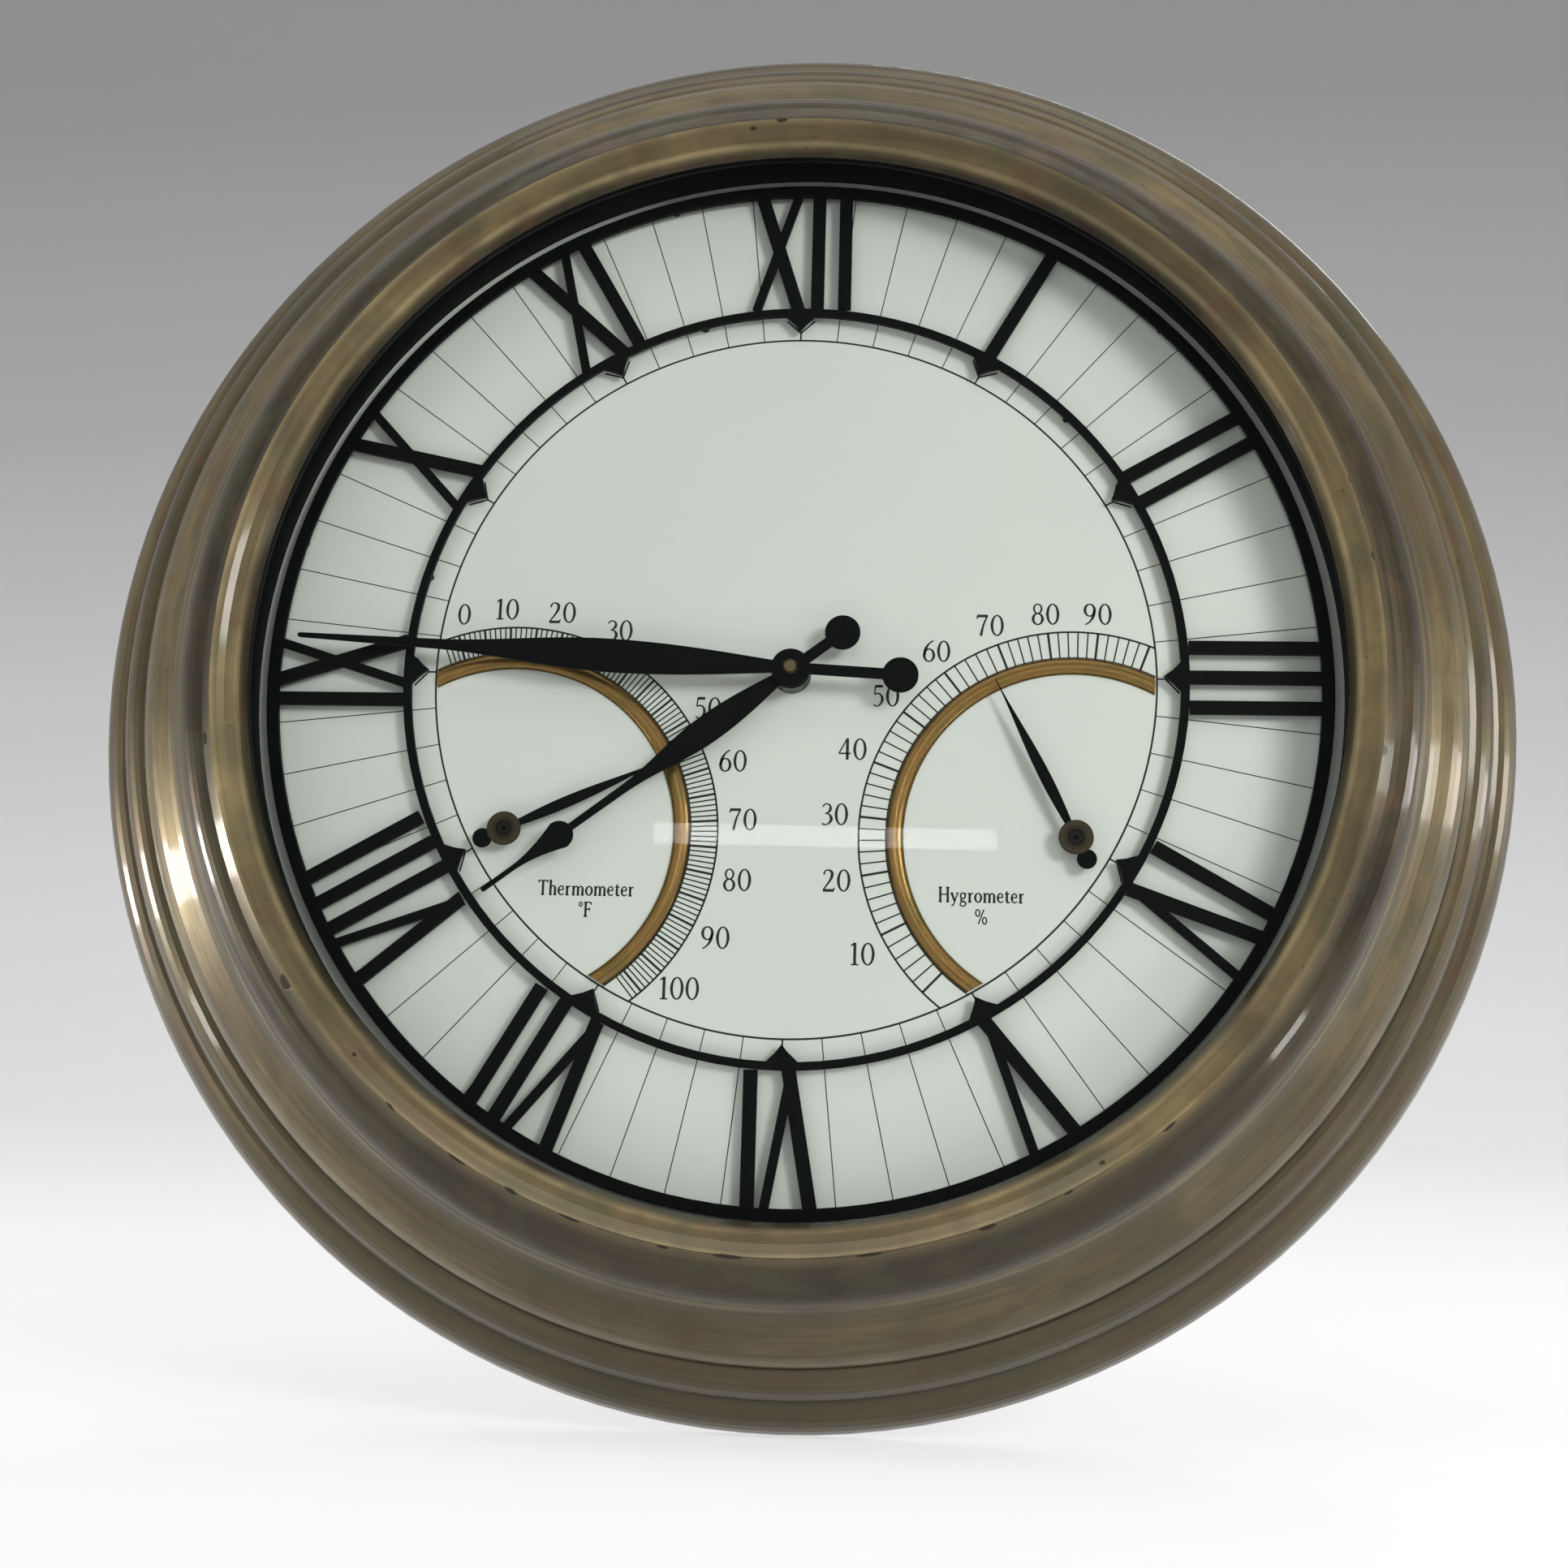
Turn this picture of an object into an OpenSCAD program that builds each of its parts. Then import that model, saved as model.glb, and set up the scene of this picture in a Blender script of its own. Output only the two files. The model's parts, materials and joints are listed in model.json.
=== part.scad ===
// Round outdoor wall clock with a thermometer and a hygrometer on its dial.
// The wall is the plane Y = 0, the dial axis runs along Y and the front faces -Y.
// Every piece is drawn in a dial frame (x right, y up, z from the wall towards
// the viewer) and face_out() turns it into place.

/* [Frame] */
// Outer diameter of the frame
case_d = 610; // [580:1:640]
// Sheet thickness of the spun frame
shell_t = 1.2; // [0.8:0.1:1.6]
// Height of the straight rim against the wall
rim_h = 3; // [3:0.5:6]
// Width of the outer bead
outer_bead_w = 15; // [12:0.5:18]
// Height of the outer bead
outer_bead_h = 18; // [15:0.5:21]
// Width of the inner bead
inner_bead_w = 13.5; // [11:0.5:16]
// Height of the inner bead
inner_bead_h = 15; // [12:0.5:18]
// Width of the quirk between bead and ogee
quirk_w = 1.5; // [1:0.1:2]
// Height of the quirk between bead and ogee
quirk_h = 4; // [3:0.5:5]
// Width of the ogee
ogee_w = 23; // [20:0.5:26]
// Height of the ogee
ogee_h = 20; // [17:0.5:23]
// Swell of the ogee away from its chord
ogee_swell = 1.3; // [0.6:0.1:2]
// Width of the cove
cove_w = 14; // [12:0.5:17]
// Height of the cove
cove_h = 11; // [9:0.5:13]
// Depth of the cove below its chord
cove_sag = 2.6; // [1.5:0.1:3.2]
// Width of the fillet beside the crest
fillet_w = 5; // [4:0.5:6]
// Height of the fillet beside the crest
fillet_h = 3; // [2:0.5:4]
// Width of the crest's outer step
crest_w = 1; // [0.6:0.1:1.5]
// Height of the crest's outer step
crest_h = 5; // [4:0.5:6]
// Width of the front band
band_w = 10; // [8:0.5:12]
// Fall of the front band towards the glass
band_drop = 6; // [5:0.5:7]
// Crown of the front band above its chord
band_crown = 0.6; // [0.2:0.1:1]
// Width of the lip in front of the glass
lip_w = 2; // [1.5:0.1:2.5]
// Depth of the lip in front of the glass
lip_drop = 4; // [3:0.5:5]

/* [Front stack] */
// Height of the dial's face above the wall
dial_z = 40; // [38:0.5:42]
// Thickness of the dial plate
dial_t = 1; // [0.8:0.1:1.5]
// Thickness of the glass
glass_t = 3; // [2:0.5:4]
// How far the glass reaches behind the lip
glass_overlap = 3.6; // [3:0.1:4]
// Thickness of the gasket's two flaps
gasket_t = 0.8; // [0.5:0.1:1.2]
// Sheet thickness of the black surround
surround_t = 1.2; // [1:0.1:1.5]
// How far the surround's wall stands outside the lip
surround_setback = 5.5; // [5:0.1:6.5]
// Width of the surround's flange on the dial
surround_flange = 9; // [7:0.5:11]
// Radius of a threaded boss under the frame
boss_r = 4; // [3.5:0.1:4.5]
// Number of bosses and dial screws
boss_count = 6; // [5:1:8]
// Radius of a dial screw
dial_screw_r = 2; // [1.5:0.1:2.2]
// Length of a dial screw's shank
dial_screw_len = 10; // [8:0.5:12]

/* [Numeral ring] */
// Thickness of the numeral ring
ring_t = 2; // [1.5:0.1:2.5]
// Gap between the dial and the numeral ring
ring_gap = 3; // [2:0.5:3.5]
// Gap between the numeral ring and the surround
ring_margin = 4.9; // [3:0.1:6]
// Width of the ring's outer band
ring_outer_w = 5; // [4.2:0.1:7]
// Width of the ring's inner band
ring_inner_w = 3.4; // [3:0.1:5]
// Radial height of a numeral
numeral_h = 53; // [50:0.1:55]
// Width of a thick stroke
stroke_thick = 5.6; // [4.5:0.1:6.5]
// Width of a thin stroke
stroke_thin = 3.8; // [3:0.1:4.5]
// Spacing of the I strokes in II and III
pitch_i = 12.6; // [11.5:0.1:13.5]
// Spacing of the I strokes that follow a V or an X
pitch_after = 11.7; // [10.5:0.1:13]
// Spacing from the middle of a V to the next I
pitch_v = 15.6; // [15:0.1:17]
// Spacing from the middle of an X to the next I
pitch_x = 17.1; // [16.5:0.1:18.5]
// Half spread of a V at its top
v_spread = 9; // [8:0.1:9.5]
// Half spread of an X at its top
x_spread_top = 8; // [7:0.1:9]
// Half spread of an X at its foot
x_spread_foot = 8.9; // [8:0.1:10]
// Half width of an hour point at its base
point_half_w = 6.5; // [5:0.1:7.5]
// Length of an hour point
point_len = 7.2; // [5:0.1:7.6]
// Radius of a standoff under the ring
standoff_r = 1.6; // [1.2:0.1:2]

/* [Clock hands] */
// Thickness of a clock hand
hand_t = 0.8; // [0.6:0.1:1]
// Height of the hour hand above the dial
hour_h = 8.8; // [8.5:0.1:9]
// Height of the minute hand above the dial
minute_h = 11.8; // [11.6:0.1:12]
// Gap from the minute hand's tip to the numeral ring's rim
minute_gap = 13.6; // [10:0.1:24]
// Half width of the minute hand at its widest
minute_half_w = 7.1; // [6:0.1:8]
// Reach of the minute hand's tail disc
minute_tail = 45; // [38:0.1:50]
// Radius of the minute hand's tail disc
minute_disc_r = 7.4; // [5.5:0.1:8]
// Gap from the hour hand's tip to the feet of the numerals
hour_gap = 8; // [6:0.1:14]
// Half width of the hour hand's leaf
hour_half_w = 5.9; // [5:0.1:7]
// Half width of the hour hand's spade
spade_half_w = 5.9; // [4.5:0.1:6.5]
// Reach of the hour hand's tail disc
hour_tail = 26.4; // [22:0.1:30]
// Radius of the hour hand's tail disc
hour_disc_r = 7.3; // [6:0.1:8.5]
// Width of both tail bars
tail_w = 4.6; // [4:0.1:5.5]
// Radius of each hand's round eye
eye_r = 8; // [7.5:0.1:9]
// Minute hand's angle, clockwise from twelve
minute_angle = 273.4; // [0:0.1:360]
// Hour hand's angle, clockwise from twelve
hour_angle = 232.7; // [0:0.1:360]

/* [Instruments] */
// Gap from the printed circle in to each instrument's centre
sensor_inset = 15.8; // [13:0.1:20]
// Angle of each instrument below the dial's level line
sensor_dip = 30.2; // [28:0.1:33]
// Mean radius of a brass arc
arc_r = 72.5; // [70:0.5:74]
// Width of a brass arc
arc_w = 7.2; // [5:0.1:7.4]
// Height of a brass arc
arc_h = 2; // [1.5:0.1:2.4]
// Gap from the numeral ring in to the printed circle
circle_gap = 9.2; // [7.8:0.1:10]
// Height of a pointer above the dial
pointer_h = 5.4; // [5.2:0.1:5.8]
// Thickness of a pointer
pointer_t = 0.6; // [0.4:0.1:0.8]
// Length of a pointer
pointer_len = 73; // [70:0.5:75]
// Half width of a pointer at its widest
pointer_half_w = 2.35; // [1.8:0.05:2.8]
// Distance of the counterweight from the pivot
weight_reach = 9.7; // [9:0.1:11]
// Radius of the counterweight
weight_r = 4; // [3:0.1:4.5]
// Radius of a pointer's brass hub
hub_r = 7; // [6:0.1:8]
// Temperature pointer's angle, clockwise from up
temperature_angle = 65.5; // [-17:0.5:141]
// Humidity pointer's angle, clockwise from up
humidity_angle = -26.2; // [-136:0.1:20]
// Radius of an instrument's cup
cup_r = 20; // [18:0.5:24]
// Depth of an instrument's cup
cup_depth = 14; // [12:0.5:16]
// Wall of an instrument's cup
cup_t = 1; // [0.8:0.1:1.4]
// Radius of an instrument's threaded neck
neck_r = 3.5; // [3:0.1:4]
// Radius of an instrument's staff
staff_r = 0.8; // [0.6:0.05:1]
// Turns of an instrument's coil
coil_turns = 4; // [3:1:5]
// Thickness of an instrument's coil strip
strip_t = 0.6; // [0.4:0.05:0.8]
// Width of an instrument's coil strip
strip_w = 5; // [4:0.5:6]

/* [Movement] */
// Width and height of the movement
move_w = 56; // [56:0.5:60]
// Depth of the movement
move_depth = 17; // [17:0.1:18]
// Wall of the movement's mouldings
move_t = 1.2; // [1:0.1:1.4]
// Radius of the threaded bushing
bushing_r = 4; // [3.9:0.1:4.5]
// Radius of the hour tube
tube_r = 2.5; // [2.4:0.05:2.7]
// Radius of the minute arbor
arbor_r = 1.6; // [1.4:0.05:1.7]
// Radius of the small train arbors
pivot_r = 0.5; // [0.4:0.05:0.6]
// Radial running clearance of every arbor
run_fit = 0.06; // [0.02:0.01:0.08]
// Thickness of the rubber washer behind the dial
washer_t = 1; // [0.5:0.1:1.5]
// Thickness of the hexagon nut
nut_t = 2.4; // [2:0.1:2.6]
// Width of the hexagon nut across its flats
nut_flats = 12; // [11:0.1:13]
// Radius of the battery
battery_r = 7.1; // [6.8:0.05:7.2]
// Length of the battery without its button
battery_len = 49.5; // [48.5:0.1:49.8]

/* [Wheel train] */
// Module of the cannon pinion and intermediate wheel
motion_module = 0.5; // [0.48:0.01:0.52]
// Teeth of the cannon pinion and the setting pinion
cannon_teeth = 12; // [12:1:12]
// Teeth of the intermediate wheel
intermediate_teeth = 36; // [36:1:36]
// Teeth of the intermediate pinion
hour_pinion_teeth = 10; // [10:1:10]
// Teeth of the hour wheel
hour_teeth = 40; // [40:1:40]
// Module of the centre wheel and third pinion
centre_module = 0.35; // [0.34:0.005:0.355]
// Teeth of the centre wheel
centre_teeth = 64; // [64:1:64]
// Teeth of the third and seconds pinions
leaf_teeth = 8; // [8:1:8]
// Module of the third wheel and seconds pinion
third_module = 0.3; // [0.28:0.01:0.31]
// Teeth of the third wheel
third_teeth = 60; // [60:1:60]
// Thickness of a train wheel
wheel_t = 0.8; // [0.6:0.1:1]
// Play between meshing teeth
backlash = 0.12; // [0.08:0.01:0.16]

/* [Back] */
// Thickness of the back board
back_t = 3; // [2.5:0.1:3.5]
// Gap between the back board and the frame's rim
back_fit = 0.6; // [0.3:0.1:1]
// Width of the ring that the back board screws to
back_ring_w = 12; // [10:0.5:14]
// Number of back screws
back_screw_count = 8; // [6:1:12]
// Radius of a back screw
back_screw_r = 1.5; // [1.2:0.1:1.8]
// Width of the access door
door_w = 92; // [88:1:100]
// Height of the access door
door_h = 84; // [80:1:92]
// Thickness of the access door
door_t = 2.5; // [2:0.1:2.6]
// Gap round the access door
door_fit = 0.5; // [0.4:0.1:0.8]
// Radius of the door's hinge barrel
barrel_r = 2.2; // [2:0.1:2.4]
// Radius of the hinge pin
hinge_pin_r = 0.9; // [0.7:0.05:1]
// Length of the door's hinge barrel
barrel_len = 58; // [50:1:64]
// Length of each knuckle on the back board
knuckle_len = 7; // [5:0.5:9]
// Radius of the finger notch beside the door
notch_r = 8; // [7:0.5:10]
// Distance from the back board's edge down to the keyhole
keyhole_drop = 58.2; // [48:0.1:70]
// Radius of the keyhole's round hole
keyhole_r = 5; // [4.5:0.1:5.5]
// Width of the keyhole's slot
keyslot_w = 5; // [4:0.1:5]
// Length of the keyhole's slot above the round hole's centre
keyslot_len = 16; // [12:0.5:20]
// Thickness of the hanger plate
hanger_t = 2; // [1.5:0.1:2.5]
// Width of the hanger plate
hanger_w = 56; // [50:1:64]
// Height of the hanger plate
hanger_h = 60; // [54:1:70]
// Radius of a rivet
rivet_r = 2; // [1.5:0.1:2.5]
// Number of vent slots behind each instrument
vent_count = 5; // [3:1:7]
// Width of a vent slot
vent_w = 3; // [2:0.1:3.5]

/* [Hidden] */
$fn = 96;

// Small gap between pieces of one body that only rest against each other
seat = 0.1;
// Overlap that joins two shapes of one solid
joined = 0.2;

// Radii of the moulding's breaks, from the wall inwards
rim_r = case_d / 2;
crease_r = rim_r - outer_bead_w;
quirk_r = crease_r - inner_bead_w;
edge_r = quirk_r - quirk_w;
cove_r = edge_r - ogee_w;
fillet_r = cove_r - cove_w;
step_r = fillet_r - fillet_w;
crest_r = step_r - crest_w;
band_r = crest_r - band_w;
opening_r = band_r - lip_w;

// Heights of the same breaks above the wall
crease_z = rim_h + outer_bead_h;
quirk_z = crease_z + inner_bead_h;
edge_z = quirk_z + quirk_h;
cove_z = edge_z + ogee_h;
fillet_z = cove_z + cove_h;
step_z = fillet_z + fillet_h;
crest_z = step_z + crest_h;
band_z = crest_z - band_drop;
lip_z = band_z - lip_drop;

// Front stack, from the lip backwards
gasket_top = lip_z - shell_t / 2;
glass_front = gasket_top - gasket_t;
glass_back = glass_front - glass_t;
gasket_bottom = glass_back - gasket_t;
glass_r = opening_r + glass_overlap;
surround_r = opening_r + surround_setback;
surround_outer = surround_r + surround_t;
flange_r = surround_outer + surround_flange;
boss_circle = flange_r + boss_r + 0.4;
dial_r = 2 * boss_circle - flange_r;
boss_start = 180 / boss_count;
dial_back = dial_z - dial_t;

// Numeral ring
ring_r = surround_r - ring_margin;
numeral_top = ring_r - ring_outer_w;
numeral_foot = numeral_top - numeral_h;
ring_inner_r = numeral_foot - ring_inner_w;
ring_z = dial_z + ring_gap;
circle_r = ring_inner_r - circle_gap;
hours = 12;

// Hands
hour_z = dial_z + hour_h;
minute_z = dial_z + minute_h;
hour_len = numeral_foot - hour_gap;
minute_len = ring_r - minute_gap;
collar_t = 1.9;
cap_r = 3.2;
cap_t = 2.2;

// Movement, from its front backwards
move_front = dial_back - washer_t;
move_back = move_front - move_depth;
move_in = move_front - move_t;
cover_in = move_back + move_t;
move_top = 26;
button_len = 1;
contact_room = 0.9;
move_left = max(move_w / 2, battery_len / 2 + button_len + contact_room + move_t + seat);
bay_wall_y = -12.5;
metal_washer_t = 0.8;
nut_z = dial_z + metal_washer_t;
bushing_top = nut_z + nut_t + 1.4;
battery_y = bay_wall_y - move_t - seat - battery_r;
battery_z = move_back + battery_r + 1;

// Wheel train
pressure = 25;
addendum = 0.85;
dedendum = 1.15;
motion_distance = (cannon_teeth + intermediate_teeth) * motion_module / 2;
hour_module = 2 * motion_distance / (hour_pinion_teeth + hour_teeth);
centre_distance = (centre_teeth + leaf_teeth) * centre_module / 2;
third_distance = (third_teeth + leaf_teeth) * third_module / 2;
seconds_teeth = 60;
seconds_module = 0.25;
intermediate_dir = 135;
setting_dir = intermediate_dir + 10;
third_dir = 30;
seconds_dir = 60;
intermediate_at = motion_distance * [cos(intermediate_dir), sin(intermediate_dir)];
setting_at = intermediate_at + motion_distance * [cos(setting_dir), sin(setting_dir)];
third_at = centre_distance * [cos(third_dir), sin(third_dir)];
seconds_at = third_at + third_distance * [cos(seconds_dir), sin(seconds_dir)];
// Rear face of each wheel, measured back from the movement's front wall
hour_wheel_z = move_in - 2.2;
intermediate_z = move_in - 4;
cannon_z = move_in - 4.2;
centre_wheel_z = move_in - 6.2;
third_wheel_z = move_in - 8.4;
seconds_wheel_z = move_in - 10.6;
hour_wheel_t = 1.2;
pinion_t = 1.6;
post_r = 1;
pivot_boss_r = 1.8;
tube_bore = arbor_r + run_fit;
bushing_bore = tube_r + run_fit;

// Instruments
sensor_reach = circle_r - sensor_inset;
humidity_at = sensor_reach * [cos(sensor_dip), -sin(sensor_dip)];
temperature_at = [-humidity_at[0], humidity_at[1]];
pointer_z = dial_z + pointer_h;
cup_front = dial_back - seat;
cup_back = cup_front - cup_depth;
neck_top = dial_z + 2.3;
sensor_nut_t = 1.6;
sensor_nut_r = 5.6;
hub_below = 1.3;
hub_above = 0.7;
hub_top = pointer_z + pointer_t + hub_above;
coil_r = cup_r - cup_t - 3;
staff_bore = staff_r + run_fit;
collet_r = 1.8;

// Back
board_r = rim_r - shell_t - back_fit;
back_ring_r = rim_r - shell_t - 3 * seat;
back_ring_t = 1.2;
back_ring_z = back_t + seat;
back_screw_circle = back_ring_r - back_ring_w / 2;
back_screw_len = 9;
head_r = 2 * back_screw_r;
head_t = 1.5;
flush = 0.1;
barrel_z = barrel_r + flush;
hinge_x = door_w / 2 + barrel_r - 0.2;
opening_left = -door_w / 2 - door_fit;
opening_right = hinge_x + barrel_r + door_fit;
knuckle_y = barrel_len / 2 + 0.4;
window_w = 2 * keyhole_r + 8;
rivet_x = hanger_w / 2 - 8;
rivet_y = hanger_h / 2 - 8;
keyhole_y = board_r - keyhole_drop;
hanger_y = keyhole_y + keyslot_len / 2;

// Moves a shape from the dial frame to its place against the wall
module face_out() {
    rotate([90, 0, 0]) children();
}

// Turns a shape that points up to a clock angle
module at_clock(angle) {
    rotate([0, 0, -angle]) children();
}

module disc(r, z, t) {
    translate([0, 0, z]) cylinder(r = r, h = t);
}

module tube(r_out, r_in, z, t) {
    difference() {
        disc(r_out, z, t);
        disc(r_in, z - 1, t + 2);
    }
}

module on_circle(count, r, start = 0) {
    for (i = [0 : count - 1])
        rotate([0, 0, start + i * 360 / count]) translate([0, r, 0]) children();
}

// Unit normal on the right of a step from a to b
function step_normal(a, b) = let (d = b - a) [d[1], -d[0]] / norm(d);

// Path moved sideways by t, with mitred corners
function offset_path(path, t) = [
    for (i = [0 : len(path) - 1])
        let (
            before = i == 0 ? step_normal(path[0], path[1]) : step_normal(path[i - 1], path[i]),
            after = i == len(path) - 1 ? before : step_normal(path[i], path[i + 1])
        )
        path[i] + t * (before + after) / (1 + before * after)
];

function reversed(path) = [for (i = [len(path) - 1 : -1 : 0]) path[i]];

// Quarter round that rises from its outer foot to its inner top
function bead(r, z, w, h, steps) = [
    for (i = [0 : steps]) [r + w * cos(90 * i / steps), z + h * sin(90 * i / steps)]
];

// Stretch between two points that leaves its chord by a sine of the given waves
function swept(a, b, amount, waves, steps) = let (n = -step_normal(a, b)) [
    for (i = [1 : steps - 1])
        a + (b - a) * i / steps + n * amount * sin(180 * waves * i / steps)
];

// Face of the frame from the wall to the lip, as radius and height
outline = concat(
    [[rim_r, 0]],
    bead(crease_r, rim_h, outer_bead_w, outer_bead_h, 8),
    [for (i = [1 : 8]) [quirk_r + inner_bead_w * cos(90 * i / 8), crease_z + inner_bead_h * sin(90 * i / 8)]],
    [[edge_r, edge_z]],
    swept([edge_r, edge_z], [cove_r, cove_z], ogee_swell, -2, 10),
    [[cove_r, cove_z]],
    swept([cove_r, cove_z], [fillet_r, fillet_z], -cove_sag, 1, 8),
    [[fillet_r, fillet_z], [step_r, step_z], [crest_r, crest_z]],
    swept([crest_r, crest_z], [band_r, band_z], band_crown, 1, 4),
    [[band_r, band_z], [opening_r, lip_z]]
);

module bezel_bosses() {
    on_circle(boss_count, boss_circle, boss_start) disc(boss_r, dial_z + seat, crest_z);
}

module bezel() {
    color([0.42, 0.37, 0.27]) face_out() difference() {
        union() {
            rotate_extrude() polygon(concat(outline, reversed(offset_path(outline, -shell_t))));
            intersection() {
                bezel_bosses();
                rotate_extrude() polygon(concat(
                    [[0, dial_z]],
                    [for (p = offset_path(outline, -shell_t / 2)) if (p[1] > dial_z) p],
                    [[0, lip_z]]
                ));
            }
        }
        on_circle(boss_count, boss_circle, boss_start) disc(dial_screw_r + seat / 2, dial_z - 1, dial_screw_len + 3);
    }
}

module glass() {
    color([0.8, 0.9, 0.9, 0.3]) face_out() disc(glass_r, glass_back, glass_t);
}

module glass_gasket() {
    side = glass_r + seat;
    play = seat / 2;
    color([0.1, 0.1, 0.1]) face_out() rotate_extrude() polygon([
        [opening_r + 0.6, gasket_bottom], [surround_r - seat, gasket_bottom],
        [surround_r - seat, gasket_top], [opening_r + 0.6, gasket_top],
        [opening_r + 0.6, glass_front + play], [side, glass_front + play],
        [side, glass_back - play], [opening_r + 0.6, glass_back - play]
    ]);
}

module dial_surround() {
    ledge = gasket_bottom - seat / 2;
    color([0.07, 0.07, 0.07]) face_out() rotate_extrude() polygon([
        [surround_r, dial_z], [flange_r, dial_z], [flange_r, dial_z + surround_t],
        [surround_outer, dial_z + surround_t], [surround_outer, gasket_top - 0.4],
        [surround_r, gasket_top - 0.4], [surround_r, ledge],
        [opening_r + 1.5, ledge], [opening_r + 1.5, ledge - surround_t],
        [surround_r, ledge - surround_t]
    ]);
}

module dial_plate() {
    color([0.78, 0.81, 0.77]) face_out() difference() {
        disc(dial_r, dial_back, dial_t);
        disc(bushing_r + seat, dial_back - 1, dial_t + 2);
        for (at = [temperature_at, humidity_at])
            translate(at) disc(neck_r + seat, dial_back - 1, dial_t + 2);
        on_circle(boss_count, boss_circle, boss_start)
            disc(dial_screw_r + seat, dial_back - 1, dial_t + 2);
    }
}

module dial_screws() {
    pan_t = 1.1 * dial_screw_r;
    recess = 0.75 * dial_screw_r;
    color("silver") face_out() on_circle(boss_count, boss_circle, boss_start) difference() {
        union() {
            disc(1.9 * dial_screw_r, dial_back - pan_t, pan_t);
            disc(dial_screw_r, dial_back, dial_screw_len);
        }
        for (a = [0, 90])
            rotate([0, 0, a]) translate([-recess, -recess / 5, dial_back - pan_t - recess])
                cube([2 * recess, recess / 2.5, 1.5 * recess]);
    }
}

// Straight stroke between two points, with square ends across the numeral
module stroke(foot_x, top_x, w) {
    foot = numeral_foot - joined;
    top = numeral_top + joined;
    run = (top_x - foot_x) / (top - foot);
    half = w / 2 * sqrt(1 + run * run);
    polygon([
        [foot_x - half, foot], [foot_x + half, foot], [top_x + half, top], [top_x - half, top]
    ]);
}

module numeral_i(x) {
    stroke(x, x, stroke_thick);
}

module numeral_v(x) {
    stroke(x + 0.6, x - v_spread, stroke_thick);
    stroke(x - 0.6, x + v_spread, stroke_thin);
}

module numeral_x(x) {
    stroke(x + x_spread_foot, x - x_spread_top, stroke_thick);
    stroke(x - x_spread_foot, x + x_spread_top, stroke_thin);
}

// Place of each hour's first figure across the hour's line, from I to XII
first_figure = [
    0, -pitch_i * 0.43, -pitch_i * 0.97, -pitch_v * 0.79, 1, -pitch_v * 0.23,
    -pitch_v * 0.57, -pitch_v * 1.15, -pitch_x * 0.77, -1, -pitch_x * 0.23, -pitch_x * 0.59
];

module numerals_i(x, count, pitch) {
    if (count > 0)
        for (i = [0 : count - 1]) numeral_i(x + i * pitch);
}

// Strokes of one hour: the first figure at its place, the others after it, clockwise
module numeral(hour) {
    x = first_figure[hour - 1];
    if (hour <= 3) numerals_i(x, hour, pitch_i);
    if (hour == 4) {
        numeral_i(x);
        numeral_v(x + pitch_v * 1.24);
    }
    if (hour >= 5 && hour <= 8) {
        numeral_v(x);
        numerals_i(x + pitch_v, hour - 5, pitch_after);
    }
    if (hour == 9) {
        numeral_i(x);
        numeral_x(x + pitch_x * 0.95);
    }
    if (hour >= 10) {
        numeral_x(x);
        numerals_i(x + pitch_x, hour - 10, pitch_after);
    }
}

module hour_point() {
    base = ring_inner_r + joined;
    polygon([
        [-point_half_w, base], [-point_half_w * 0.42, base - point_len * 0.5],
        [0, base - point_len], [point_half_w * 0.42, base - point_len * 0.5],
        [point_half_w, base]
    ]);
}

module numeral_ring() {
    color([0.08, 0.08, 0.08]) face_out() translate([0, 0, ring_z]) linear_extrude(ring_t) {
        difference() {
            circle(ring_r);
            circle(numeral_top);
        }
        difference() {
            circle(numeral_foot);
            circle(ring_inner_r);
        }
        for (hour = [1 : hours]) at_clock(hour * 360 / hours) {
            numeral(hour);
            hour_point();
        }
    }
}

module ring_standoffs() {
    color([0.08, 0.08, 0.08]) face_out() {
        on_circle(6, numeral_top + ring_outer_w / 2, 15) disc(standoff_r, dial_z, ring_gap);
        on_circle(6, ring_inner_r + ring_inner_w / 2, 15) disc(standoff_r, dial_z, ring_gap);
    }
}

// Half round brass moulding, cut off at the printed circle
module brass_arc(at) {
    color([0.62, 0.45, 0.2]) face_out() intersection() {
        translate([at[0], at[1], dial_z]) rotate_extrude() intersection() {
            translate([arc_r, 0]) scale([1, arc_h / (arc_w / 2)]) circle(arc_w / 2, $fn = 32);
            translate([arc_r - arc_w, 0]) square([2 * arc_w, arc_w]);
        }
        disc(circle_r - 1, dial_z - 1, arc_h + 2);
    }
}

module temperature_arc() {
    brass_arc(temperature_at);
}

module humidity_arc() {
    brass_arc(humidity_at);
}

module back_ring() {
    color("silver") face_out() difference() {
        tube(back_ring_r, back_ring_r - back_ring_w, back_ring_z, back_ring_t);
        on_circle(back_screw_count, back_screw_circle, 22.5)
            disc(back_screw_r + 0.05, back_ring_z - 1, back_ring_t + 2);
    }
}

// Slot with round ends, standing up from its lower end
module slot(w, len, z, t) {
    disc(w / 2, z, t);
    translate([0, len, 0]) disc(w / 2, z, t);
    translate([-w / 2, 0, z]) cube([w, len, t]);
}

module knuckles() {
    for (side = [-1, 1]) translate([hinge_x, side * (knuckle_y + knuckle_len / 2), 0]) {
        translate([0, 0, barrel_z]) rotate([90, 0, 0])
            cylinder(r = barrel_r, h = knuckle_len, center = true);
        translate([0, -knuckle_len / 2, flush])
            cube([barrel_r + door_fit + 1, knuckle_len, back_t - flush]);
    }
}

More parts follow.
